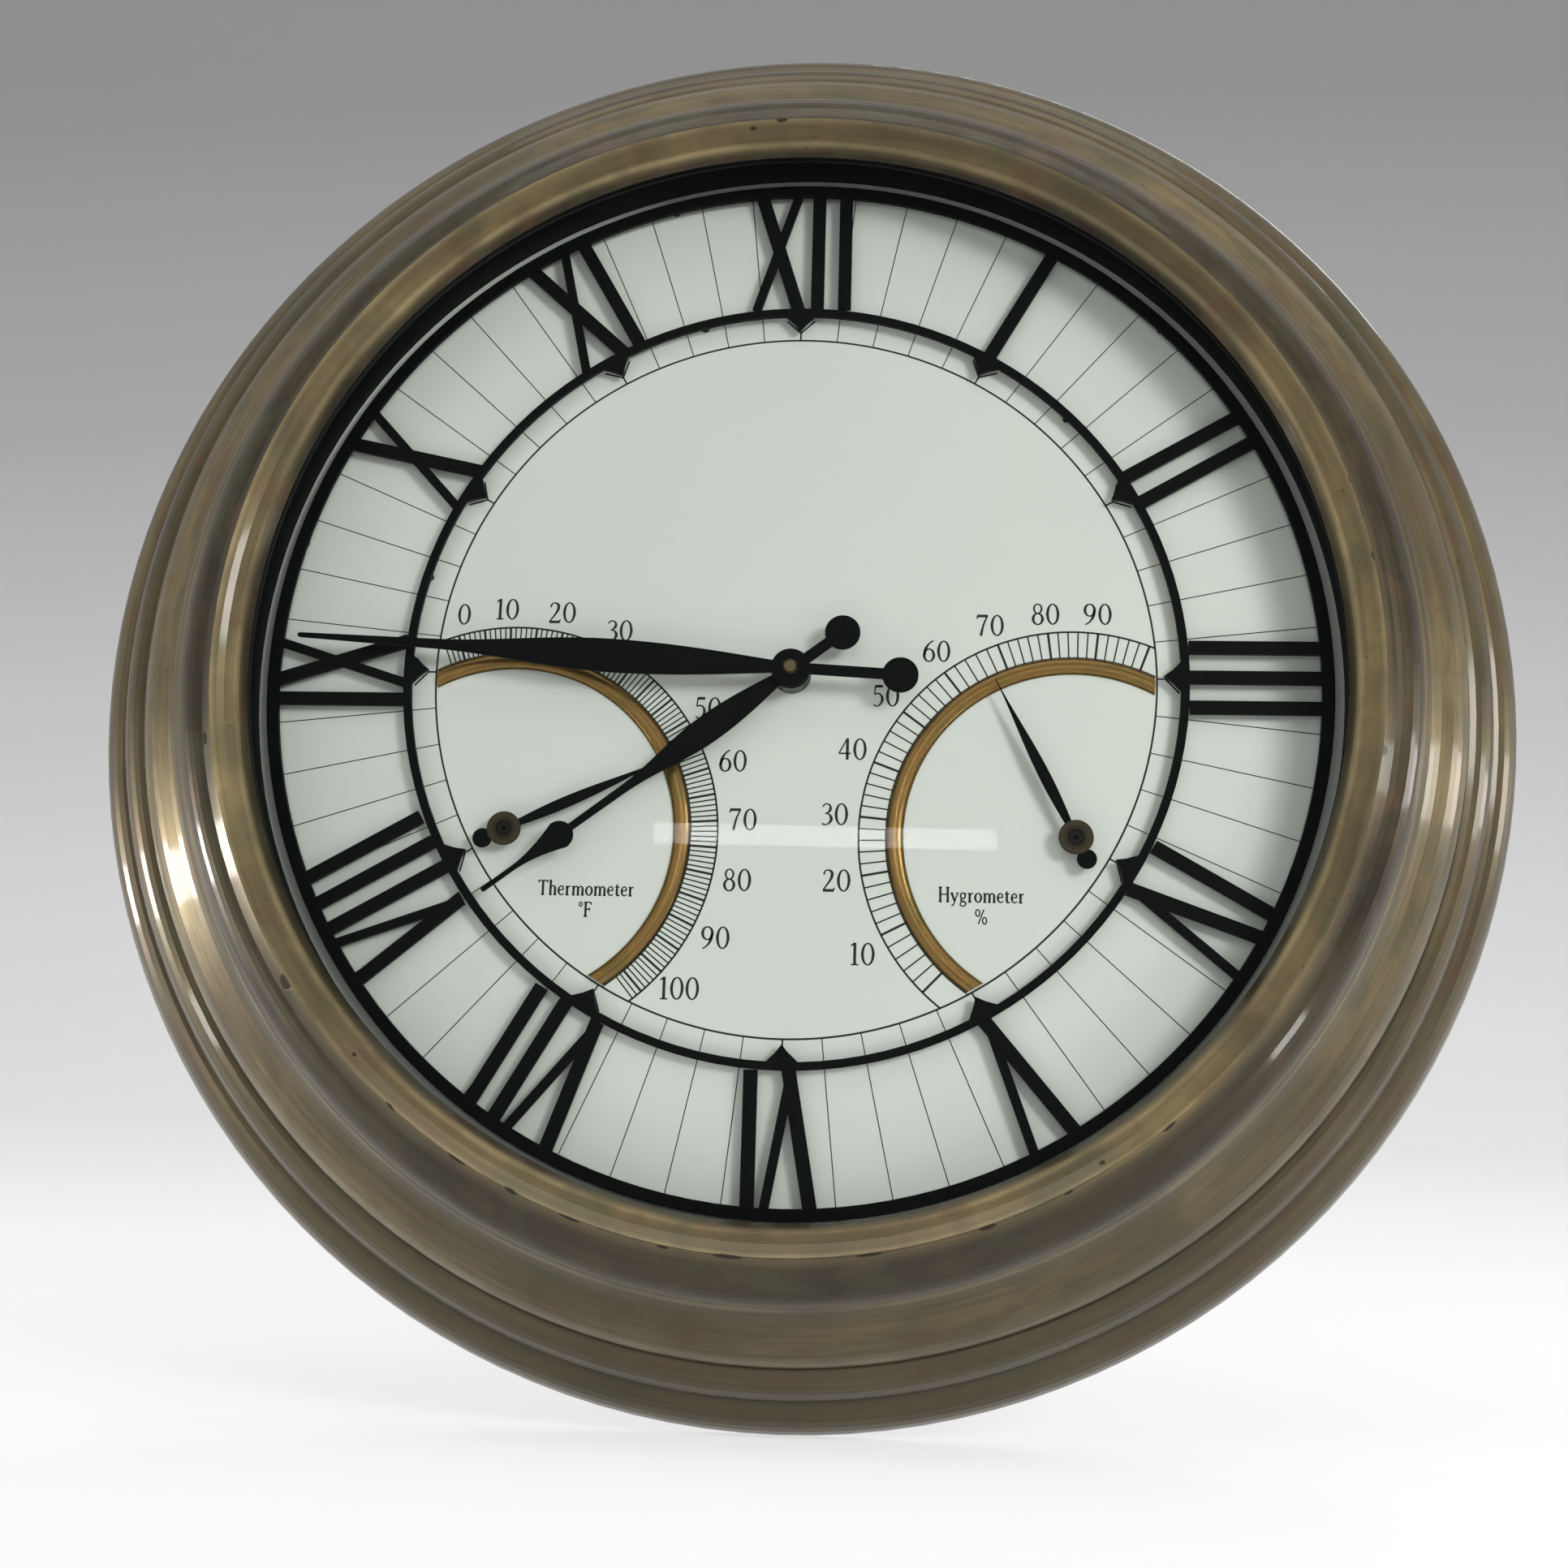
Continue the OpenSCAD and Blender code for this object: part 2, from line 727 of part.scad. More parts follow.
module back_board() {
    color([0.12, 0.12, 0.12]) face_out() difference() {
        union() {
            difference() {
                disc(board_r, 0, back_t);
                translate([opening_left, -door_h / 2 - door_fit, -1])
                    cube([opening_right - opening_left, door_h + 2 * door_fit, back_t + 2]);
            }
            knuckles();
        }
        translate([opening_left, 0, 0]) disc(notch_r, -1, back_t + 2);
        translate([hinge_x, 0, barrel_z]) rotate([90, 0, 0])
            cylinder(r = hinge_pin_r + seat / 4, h = 2 * (knuckle_y + knuckle_len) + 2, center = true);
        translate([0, keyhole_y - keyhole_r / 2, 0])
            slot(window_w, keyslot_len + keyhole_r / 2, -1, back_t + 2);
        for (x = [-1, 1], y = [-1, 1])
            translate([x * rivet_x, hanger_y + y * rivet_y, 0]) {
                disc(rivet_r + seat / 2, -1, back_t + 2);
                translate([0, 0, -0.001]) cylinder(r1 = rivet_r + 1.2, r2 = rivet_r, h = 1.2);
            }
        on_circle(back_screw_count, back_screw_circle, 22.5) {
            disc(back_screw_r + seat, -1, back_t + 2);
            translate([0, 0, -0.001])
                cylinder(r1 = head_r + seat + flush, r2 = back_screw_r + seat, h = head_t + flush);
        }
        for (at = [temperature_at, humidity_at], i = [0 : vent_count - 1])
            translate([at[0] + (i - (vent_count - 1) / 2) * 2.2 * vent_w, at[1] - cup_r * 0.6, 0])
                slot(vent_w, cup_r * 1.2, -1, back_t + 2);
    }
}

module back_screws() {
    color("silver") face_out() on_circle(back_screw_count, back_screw_circle, 22.5) difference() {
        union() {
            translate([0, 0, flush]) cylinder(r1 = head_r, r2 = back_screw_r, h = head_t);
            disc(back_screw_r, flush + head_t, back_screw_len - head_t);
        }
        for (a = [0, 90])
            rotate([0, 0, a]) translate([-1.4, -0.3, flush - 0.5]) cube([2.8, 0.6, 1.2]);
    }
}

module hanger_plate() {
    color("silver") face_out() difference() {
        translate([-hanger_w / 2, hanger_y - hanger_h / 2, back_t]) cube([hanger_w, hanger_h, hanger_t]);
        translate([0, keyhole_y, 0]) {
            disc(keyhole_r, back_t - 1, hanger_t + 2);
            slot(keyslot_w, keyslot_len, back_t - 1, hanger_t + 2);
        }
        for (x = [-1, 1], y = [-1, 1])
            translate([x * rivet_x, hanger_y + y * rivet_y, 0])
                disc(rivet_r + seat / 2, back_t - 1, hanger_t + 2);
    }
}

module hanger_rivets() {
    dome_t = 1.2;
    color("gray") face_out() for (x = [-1, 1], y = [-1, 1])
        translate([x * rivet_x, hanger_y + y * rivet_y, 0]) {
            translate([0, 0, flush]) cylinder(r1 = rivet_r + 1, r2 = rivet_r, h = 1);
            disc(rivet_r, flush + 1, back_t + hanger_t - flush - 1);
            translate([0, 0, back_t + hanger_t]) cylinder(r1 = rivet_r + 1.4, r2 = rivet_r, h = dome_t);
        }
}

module access_door() {
    left = -door_w / 2;
    clear_x = hinge_x - barrel_r - door_fit;
    color([0.15, 0.15, 0.15]) face_out() difference() {
        union() {
            translate([left, -door_h / 2, 0]) cube([clear_x - left, door_h, door_t]);
            translate([clear_x - 1, -barrel_len / 2, 0])
                cube([hinge_x - clear_x + 1, barrel_len, door_t]);
            translate([hinge_x, 0, barrel_z]) rotate([90, 0, 0])
                cylinder(r = barrel_r, h = barrel_len, center = true);
            for (y = [-door_h / 3, door_h / 3])
                translate([left + 6, y - 0.6, door_t - joined])
                    cube([clear_x - left - 12, 1.2, 1.4]);
        }
        translate([hinge_x, 0, barrel_z]) rotate([90, 0, 0])
            cylinder(r = hinge_pin_r + run_fit, h = barrel_len + 2, center = true);
    }
}

module door_pin() {
    color("silver") face_out() translate([hinge_x, 0, barrel_z]) rotate([90, 0, 0])
        cylinder(r = hinge_pin_r, h = 2 * (knuckle_y + knuckle_len) - 0.4, center = true);
}

// Box in the dial frame from its two opposite corners
module block(low, high) {
    translate(low) cube(high - low);
}

module movement_case() {
    inner = move_left - move_t;
    bottom = move_top - move_w;
    color([0.1, 0.1, 0.1]) face_out() difference() {
        union() {
            difference() {
                block([-move_left, bottom, move_back], [move_left, move_top, move_front]);
                block([-inner, bay_wall_y, move_back - 1], [inner, move_top - move_t, move_in]);
                block([-inner, bottom + move_t, move_back - 1],
                      [inner, bay_wall_y - move_t, battery_z + battery_r + 0.2]);
                block([-move_left - 1, bay_wall_y - move_t, move_back - 1],
                      [move_left + 1, move_top + 1, cover_in]);
            }
            disc(bushing_r, move_front - joined, bushing_top - move_front + joined);
            translate(intermediate_at) disc(post_r, intermediate_z - 0.6, move_in - intermediate_z + 0.7);
            for (at = [third_at, seconds_at, setting_at])
                translate(at) disc(pivot_boss_r, move_in - 2.2, 2.3);
        }
        disc(bushing_bore, move_in - 1, bushing_top - move_in + 2);
        for (at = [third_at, seconds_at])
            translate(at) disc(pivot_r + run_fit, move_in - 3, 2.4);
        translate(setting_at) disc(post_r + run_fit, move_in - 3, 2.4);
    }
}

module movement_cover() {
    color([0.14, 0.14, 0.14]) face_out() difference() {
        union() {
            block([-move_left, bay_wall_y - move_t, move_back], [move_left, move_top, cover_in - seat / 2]);
            disc(2.2, cover_in - joined, 4);
            for (at = [third_at, seconds_at])
                translate(at) disc(pivot_boss_r, cover_in - joined, 2.4);
        }
        disc(staff_bore, cover_in - 0.4, 6);
        for (at = [third_at, seconds_at])
            translate(at) disc(pivot_r + run_fit, cover_in - 0.4, 4);
        translate(setting_at) disc(arbor_r + run_fit, move_back - 1, 4);
    }
}

module rubber_washer() {
    color([0.2, 0.2, 0.2]) face_out() tube(11, bushing_r + seat, move_front, washer_t);
}

module dial_washer() {
    color("silver") face_out() tube(8, bushing_r + seat, dial_z, metal_washer_t);
}

module hex_nut() {
    color("silver") face_out() difference() {
        translate([0, 0, nut_z]) cylinder(r = nut_flats / sqrt(3), h = nut_t, $fn = 6);
        disc(bushing_r + seat / 2, nut_z - 1, nut_t + 2);
    }
}

module battery() {
    color([0.2, 0.25, 0.2]) face_out() translate([0, battery_y, battery_z]) rotate([0, 90, 0]) {
        cylinder(r = battery_r, h = battery_len, center = true);
        cylinder(r = 2.7, h = battery_len / 2 + button_len);
    }
}

module battery_contacts() {
    inner = move_left - move_t - seat;
    leaf_t = 0.4;
    low = battery_z - 4;
    high = battery_z + 4;
    color("silver") face_out() {
        block([inner - leaf_t, battery_y - 4, low], [inner, battery_y + 4, high]);
        block([battery_len / 2 + button_len + seat, battery_y - 2, battery_z - 2],
              [inner - leaf_t + 0.01, battery_y + 2, battery_z + 2]);
        block([-inner, battery_y - 4, low], [leaf_t - inner, battery_y + 4, high]);
        block([leaf_t - inner - 0.01, battery_y - 2, battery_z - 2],
              [-battery_len / 2 - seat, battery_y + 2, battery_z + 2]);
    }
}

module circuit_board() {
    board_z = cover_in + 3.6;
    color([0.15, 0.35, 0.2]) face_out() {
        difference() {
            block([move_t + 4 * seat - move_left, bay_wall_y + seat, board_z], [-12.6, 0, board_z + 1]);
            translate([move_t + 2.8 - move_left, -2.5, 0]) disc(0.8, board_z - 1, 3);
        }
        translate([-19.5, -6.5, board_z + 1 - 0.01]) cylinder(r = 2.6, h = 0.9);
        translate([-15, -9, board_z + 1.8]) rotate([-90, 0, 0]) cylinder(r = 0.9, h = 6);
    }
}

coil_y = 21.4;
coil_z = cover_in + 5.4;
coil_len = 22;
coil_x = -24.5;

module motor_coil() {
    color([0.7, 0.4, 0.2]) face_out() translate([coil_x, coil_y, coil_z]) rotate([0, 90, 0]) difference() {
        union() {
            cylinder(r = 2.6, h = coil_len);
            cylinder(r = 3.1, h = 1.2);
            translate([0, 0, coil_len - 1.2]) cylinder(r = 3.1, h = 1.2);
        }
        translate([0, 0, -1]) cylinder(r = 1, h = coil_len + 2);
    }
}

// Stator plate with the step rotor's capsule at its end, in one closed motor
module motor_stator() {
    end = 5;
    color([0.6, 0.6, 0.62]) face_out() {
        translate([coil_x - 0.8, coil_y, coil_z]) rotate([0, 90, 0]) cylinder(r = 0.9, h = coil_len + 4.2);
        block([coil_x + coil_len + 0.4, coil_y - 2.8, coil_z - 0.8], [end, coil_y + 2.8, coil_z + 0.8]);
        translate([end - 1, coil_y, 0]) disc(2.6, coil_z - 2.2, 4.4);
    }
}

// Half width of an involute tooth at radius r, in degrees
function tooth_half(r, rp, rb, half_p) =
    half_p + involute(rp, rb) - involute(max(r, rb), rb);
function involute(r, rb) = r <= rb ? 0 : let (a = acos(rb / r)) tan(a) * 180 / PI - a;

// Outline of a spur gear with a tooth on the +x axis
function gear_outline(teeth, module_size) =
    let (
        rp = teeth * module_size / 2,
        rb = rp * cos(pressure),
        ro = rp + addendum * module_size,
        rr = rp - dedendum * module_size,
        half_p = 90 / teeth - backlash / 4 / rp * 180 / PI,
        radii = [rr, max(rr + 0.01, rb), (max(rr, rb) + ro) / 2, ro]
    )
    [
        for (i = [0 : teeth - 1], side = [-1, 1], k = [0 : 3])
            let (
                r = side < 0 ? radii[k] : radii[3 - k],
                a = i * 360 / teeth + side * tooth_half(r, rp, rb, half_p)
            )
            r * [cos(a), sin(a)]
    ];

// Gear whose first tooth points along the given direction
module gear(teeth, module_size, z, t, dir) {
    translate([0, 0, z]) rotate([0, 0, dir]) linear_extrude(t)
        polygon(gear_outline(teeth, module_size));
}

// Gear that meets a tooth coming from the given direction with a gap
module meshing_gear(teeth, module_size, z, t, dir) {
    gear(teeth, module_size, z, t, dir + 180 / teeth);
}

// Round holes that lighten a wheel
module lightening(r_mid, r_hole, z) {
    for (a = [0 : 72 : 359]) rotate([0, 0, a]) translate([r_mid, 0, 0]) disc(r_hole, z - 1, 4);
}

module minute_arbor() {
    color([0.75, 0.6, 0.3]) face_out() {
        disc(staff_r, cover_in - 0.2, centre_wheel_z - cover_in + 0.3);
        disc(1.2, cover_in + 4.2, cannon_z - cover_in - 4.1);
        disc(arbor_r, cannon_z - joined, minute_z + hand_t + cap_t * 0.6 - cannon_z + joined);
        difference() {
            gear(centre_teeth, centre_module, centre_wheel_z, wheel_t, third_dir);
            lightening(6.4, 1.7, centre_wheel_z);
        }
        disc(2.4, centre_wheel_z, wheel_t + 0.8);
        meshing_gear(cannon_teeth, motion_module, cannon_z, 1.4, intermediate_dir);
    }
}

// Half width that swells from w0 at s0 to w1 at s1
function swell(s, s0, s1, w0, w1) = w0 + (w1 - w0) * sin(90 * (s - s0) / (s1 - s0));

// Half width that falls from w0 at s0 to w1 at s1, hollow towards its end
function fall(s, s0, s1, w0, w1, power) =
    w1 + (w0 - w1) * pow(max(0, cos(90 * (s - s0) / (s1 - s0))), power);

function stations(s0, s1, steps) = [for (i = [0 : steps - 1]) s0 + (s1 - s0) * i / steps];

// Closed outline from [distance, half width] pairs
function mirrored(pairs) = concat(
    [for (p = pairs) [p[1], p[0]]],
    [for (i = [len(pairs) - 1 : -1 : 0]) [-pairs[i][1], pairs[i][0]]]
);

leaf_root = 2.6;
minute_widest = minute_len * 0.36;
minute_neck = minute_len * 0.73;
neck_half_w = 2;
tip_half_w = 1;

minute_shape = concat(
    [for (s = stations(eye_r - 1, minute_widest, 9))
        [s, swell(s, eye_r - 1, minute_widest, leaf_root, minute_half_w)]],
    [for (s = stations(minute_widest, minute_neck, 10))
        [s, fall(s, minute_widest, minute_neck, minute_half_w, neck_half_w, 1.8)]],
    [[minute_neck, neck_half_w], [minute_len - 1, tip_half_w], [minute_len, tip_half_w / 2]]
);

hour_widest = hour_len * 0.27;
hour_neck = hour_len * 0.55;
spade_widest = hour_len * 0.754;
spade_head = hour_len * 0.04;
spade_end = hour_len * 0.9;
stem_half_w = 1.5;

// Half width that narrows from w0 at s0 to w1 at s1, fast at first
function taper(s, s0, s1, w0, w1, power) =
    w1 + (w0 - w1) * pow(1 - (s - s0) / (s1 - s0), power);

hour_shape = concat(
    [for (s = stations(eye_r - 1, hour_widest, 7))
        [s, swell(s, eye_r - 1, hour_widest, leaf_root, hour_half_w)]],
    [for (s = stations(hour_widest, hour_neck, 8))
        [s, fall(s, hour_widest, hour_neck, hour_half_w, stem_half_w + 0.2, 2)]],
    [[hour_neck, stem_half_w + 0.2]],
    [for (a = [15 : 12 : 87])
        [spade_widest - spade_head * cos(a), spade_half_w * sin(a)]],
    [for (s = stations(spade_widest, spade_end, 9))
        [s, taper(s, spade_widest, spade_end, spade_half_w, tip_half_w, 1.75)]],
    [[spade_end, tip_half_w], [hour_len - 0.6, tip_half_w], [hour_len, tip_half_w / 2]]
);

pointer_widest = pointer_len * 0.36;
pointer_shape = concat(
    [for (s = stations(hub_r - 3, pointer_widest, 6))
        [s, swell(s, hub_r - 3, pointer_widest, 1.2, pointer_half_w)]],
    [for (s = stations(pointer_widest, pointer_len, 10))
        [s, fall(s, pointer_widest, pointer_len, pointer_half_w, 0.15, 1.8)]],
    [[pointer_len, 0.15]]
);

// Flat hand with a round eye, a leaf, and a disc on its tail
module hand_blank(shape, tail, disc_r, t) {
    linear_extrude(t) {
        circle(eye_r);
        polygon(mirrored(shape));
        translate([-tail_w / 2, -tail]) square([tail_w, tail]);
        translate([0, -tail]) circle(disc_r);
    }
}

module minute_hand() {
    color([0.05, 0.05, 0.05]) face_out() difference() {
        union() {
            translate([0, 0, minute_z]) at_clock(minute_angle)
                hand_blank(minute_shape, minute_tail, minute_disc_r, hand_t);
            disc(4, minute_z - 1.3, 1.3 + joined);
        }
        disc(arbor_r + seat / 4, minute_z - 3, 6);
    }
}

module cap_nut() {
    base = minute_z + hand_t;
    color([0.5, 0.38, 0.25]) face_out() difference() {
        union() {
            disc(cap_r, base, cap_t * 0.6);
            translate([0, 0, base + cap_t * 0.6])
                cylinder(r1 = cap_r, r2 = cap_r * 0.72, h = cap_t * 0.4);
        }
        disc(arbor_r + seat / 4, base - 1, cap_t * 0.6 + 1 + seat);
    }
}

module hour_wheel() {
    color([0.85, 0.85, 0.8]) face_out() difference() {
        union() {
            difference() {
                gear(hour_teeth, hour_module, hour_wheel_z, hour_wheel_t, intermediate_dir);
                lightening(6, 1.4, hour_wheel_z);
            }
            disc(tube_r, hour_wheel_z, hour_z + hand_t - hour_wheel_z);
        }
        disc(tube_bore, hour_wheel_z - 1, hour_z + hand_t - hour_wheel_z + 2);
    }
}

module hour_hand() {
    color([0.05, 0.05, 0.05]) face_out() difference() {
        union() {
            translate([0, 0, hour_z]) at_clock(hour_angle)
                hand_blank(hour_shape, hour_tail, hour_disc_r, hand_t);
            disc(4.6, hour_z - collar_t, collar_t + joined);
        }
        disc(tube_r + seat / 4, hour_z - collar_t - 1, collar_t + hand_t + 2);
    }
}

module intermediate_wheel() {
    color([0.85, 0.85, 0.8]) face_out() translate(intermediate_at) difference() {
        union() {
            difference() {
                gear(intermediate_teeth, motion_module, intermediate_z, 1, intermediate_dir + 180);
                lightening(5.6, 1.5, intermediate_z);
            }
            meshing_gear(hour_pinion_teeth, hour_module, intermediate_z + 1 - 0.01, 2.2, intermediate_dir + 180);
        }
        disc(post_r + run_fit, intermediate_z - 1, 6);
    }
}

// Arbor that turns in the movement's case and cover
module train_arbor() {
    disc(pivot_r, cover_in - 0.2, move_in - cover_in - 0.6);
}

module third_wheel() {
    color([0.85, 0.85, 0.8]) face_out() translate(third_at) {
        train_arbor();
        meshing_gear(leaf_teeth, centre_module, centre_wheel_z - 0.4, pinion_t, third_dir + 180);
        difference() {
            gear(third_teeth, third_module, third_wheel_z, wheel_t, seconds_dir);
            lightening(5.2, 1.5, third_wheel_z);
        }
        disc(1.2, third_wheel_z, centre_wheel_z - third_wheel_z);
    }
}

module seconds_wheel() {
    color([0.85, 0.85, 0.8]) face_out() translate(seconds_at) {
        train_arbor();
        meshing_gear(leaf_teeth, third_module, third_wheel_z - 0.4, pinion_t, seconds_dir + 180);
        difference() {
            gear(seconds_teeth, seconds_module, seconds_wheel_z, wheel_t, 0);
            lightening(4.4, 1.3, seconds_wheel_z);
        }
        disc(1.1, seconds_wheel_z, third_wheel_z - seconds_wheel_z);
    }
}

module setting_knob() {
    knob_r = 5.5;
    knob_t = 3.2;
    grips = 12;
    color([0.85, 0.85, 0.8]) face_out() translate(setting_at) {
        disc(arbor_r, move_back - 0.6, cannon_z - move_back + 0.7);
        disc(post_r, cannon_z, move_in - cannon_z - 1.2);
        gear(cannon_teeth, motion_module, cannon_z, 1.4, setting_dir + 180 + 180 / cannon_teeth);
        difference() {
            disc(knob_r, move_back - 0.4 - knob_t, knob_t);
            on_circle(grips, knob_r + 0.5) disc(1, move_back - knob_t - 2, knob_t + 4);
        }
    }
}

// Cup behind the dial with the threaded neck that holds it
module sensor_cup(at) {
    color([0.3, 0.3, 0.3]) face_out() translate(at) difference() {
        union() {
            disc(cup_r, cup_back, cup_depth);
            disc(neck_r, cup_front - joined, neck_top - cup_front + joined);
        }
        disc(cup_r - cup_t, cup_back - 1, cup_depth + 1 - cup_t);
        disc(staff_bore, cup_front - cup_t - 1, neck_top - cup_front + cup_t + 2);
    }
}

module thermometer_cup() {
    sensor_cup(temperature_at);
}

module hygrometer_cup() {
    sensor_cup(humidity_at);
}

// Vented cover that closes both cups and carries the rear ends of the staffs
module cup_covers() {
    cover_t = 1.2;
    plug_r = cup_r - cup_t - seat;
    color([0.25, 0.25, 0.25]) face_out() for (at = [temperature_at, humidity_at])
        translate(at) difference() {
            union() {
                disc(cup_r, cup_back - cover_t, cover_t);
                tube(plug_r, plug_r - 1, cup_back - joined, 1.6);
                disc(2.4, cup_back - joined, 2);
                translate([coil_r + 1.2, 0, 0]) disc(1.1, cup_back - joined, cup_depth - cup_t - 1.5);
            }
            disc(staff_bore, cup_back - 0.3, 4);
            for (a = [30 : 60 : 359]) rotate([0, 0, a]) translate([cup_r * 0.5, 0, 0])
                disc(cup_r * 0.16, cup_back - cover_t - 1, 4);
        }
}

// Flat spiral from the staff's collet out to the post on the cover
module sensor_coil(at, start_r, end_r) {
    steps = 20 * coil_turns;
    function reach(i) = start_r + (end_r - start_r) * i / steps;
    function turned(i, side) = (reach(i) + side * strip_t / 2) * [cos(18 * i), sin(18 * i)];
    color([0.7, 0.5, 0.25]) face_out() translate([at[0], at[1], cup_back + 4]) linear_extrude(strip_w)
        polygon(concat(
            [for (i = [0 : steps]) turned(i, -1)],
            [for (i = [steps : -1 : 0]) turned(i, 1)]
        ));
}

module thermometer_coil() {
    sensor_coil(temperature_at, collet_r + 0.7, coil_r - 0.3);
}

module hygrometer_coil() {
    sensor_coil(humidity_at, collet_r + 0.7, coil_r - 0.3);
}

module sensor_staff(at) {
    color("silver") face_out() translate(at) {
        disc(staff_r, cup_back, hub_top - 0.3 - cup_back);
        disc(collet_r, cup_back + 3.6, strip_w + 0.8);
    }
}

module temperature_staff() {
    sensor_staff(temperature_at);
}

module humidity_staff() {
    sensor_staff(humidity_at);
}

module sensor_pointer(at, angle) {
    color([0.05, 0.05, 0.05]) face_out() translate([at[0], at[1], pointer_z]) at_clock(angle)
        linear_extrude(pointer_t) difference() {
            union() {
                circle(hub_r - 1.5);
                polygon(mirrored(pointer_shape));
                translate([-1, -weight_reach]) square([2, weight_reach]);
                translate([0, -weight_reach]) circle(weight_r);
            }
            circle(staff_r + 1.2 + seat / 4);
        }
}

module temperature_pointer() {
    sensor_pointer(temperature_at, temperature_angle);
}

module humidity_pointer() {
    sensor_pointer(humidity_at, humidity_angle);
}

// Brass hub that grips the staff, with the pointer clamped under its cap
module sensor_hub(at) {
    foot = pointer_z - hub_below;
    cap = pointer_z + pointer_t;
    color([0.4, 0.35, 0.2]) face_out() translate(at) difference() {
        union() {
            disc(hub_r - 2, foot, hub_below);
            disc(staff_r + 1.2, foot, cap - foot + 0.1);
            disc(hub_r, cap, hub_above);
        }
        translate([0, 0, cap + 0.25]) cylinder(r1 = hub_r - 4.2, r2 = hub_r - 3.8, h = hub_above);
        disc(staff_r + seat / 4, foot - 1, hub_below + pointer_t + hub_above + 2);
    }
}

module temperature_hub() {
    sensor_hub(temperature_at);
}

module humidity_hub() {
    sensor_hub(humidity_at);
}

module sensor_nuts() {
    color("silver") face_out() for (at = [temperature_at, humidity_at])
        translate(at) tube(sensor_nut_r, neck_r + seat / 2, dial_z, sensor_nut_t);
}

bezel();
glass();
glass_gasket();
dial_surround();
dial_plate();
dial_screws();
numeral_ring();
ring_standoffs();
temperature_arc();
humidity_arc();
back_ring();
back_board();
back_screws();
hanger_plate();
hanger_rivets();
access_door();
door_pin();
movement_case();
movement_cover();
rubber_washer();
dial_washer();
hex_nut();
battery();
battery_contacts();
circuit_board();
motor_coil();
motor_stator();
minute_arbor();
minute_hand();
cap_nut();
hour_wheel();
hour_hand();
intermediate_wheel();
third_wheel();
seconds_wheel();
setting_knob();
thermometer_cup();
thermometer_coil();
temperature_staff();
temperature_pointer();
temperature_hub();
hygrometer_cup();
hygrometer_coil();
humidity_staff();
humidity_pointer();
humidity_hub();
sensor_nuts();
cup_covers();
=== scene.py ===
import json
import math

import bmesh
import bpy
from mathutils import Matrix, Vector


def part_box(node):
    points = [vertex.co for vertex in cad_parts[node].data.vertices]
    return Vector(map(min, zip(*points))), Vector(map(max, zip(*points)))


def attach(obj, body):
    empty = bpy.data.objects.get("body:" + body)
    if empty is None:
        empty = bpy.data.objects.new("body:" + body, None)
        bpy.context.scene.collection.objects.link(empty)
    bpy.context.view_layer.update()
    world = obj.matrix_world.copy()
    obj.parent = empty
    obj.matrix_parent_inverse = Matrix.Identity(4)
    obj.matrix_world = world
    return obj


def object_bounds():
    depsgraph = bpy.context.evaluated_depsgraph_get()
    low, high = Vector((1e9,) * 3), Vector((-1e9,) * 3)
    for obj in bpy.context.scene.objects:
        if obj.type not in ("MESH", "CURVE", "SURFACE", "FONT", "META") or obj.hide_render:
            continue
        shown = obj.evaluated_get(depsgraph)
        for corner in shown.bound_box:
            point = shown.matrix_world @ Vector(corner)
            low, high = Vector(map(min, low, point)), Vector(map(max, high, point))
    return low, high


MM = 0.001
MM_PER_M = 1000

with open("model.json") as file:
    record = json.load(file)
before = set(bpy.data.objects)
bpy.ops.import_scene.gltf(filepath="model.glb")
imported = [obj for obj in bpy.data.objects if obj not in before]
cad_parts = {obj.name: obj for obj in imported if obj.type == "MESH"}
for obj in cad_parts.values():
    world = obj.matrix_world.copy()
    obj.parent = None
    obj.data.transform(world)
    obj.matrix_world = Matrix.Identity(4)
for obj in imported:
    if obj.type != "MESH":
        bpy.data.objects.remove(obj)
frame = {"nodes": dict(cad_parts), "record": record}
cad_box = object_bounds()


# Colours and node trees

def paint(red, green, blue):
    """A screen colour of 0 to 255 as the linear colour that a shader takes."""
    def linear(value):
        value /= 255
        return value / 12.92 if value <= 0.04045 else ((value + 0.055) / 1.055) ** 2.4
    return (linear(red), linear(green), linear(blue), 1)


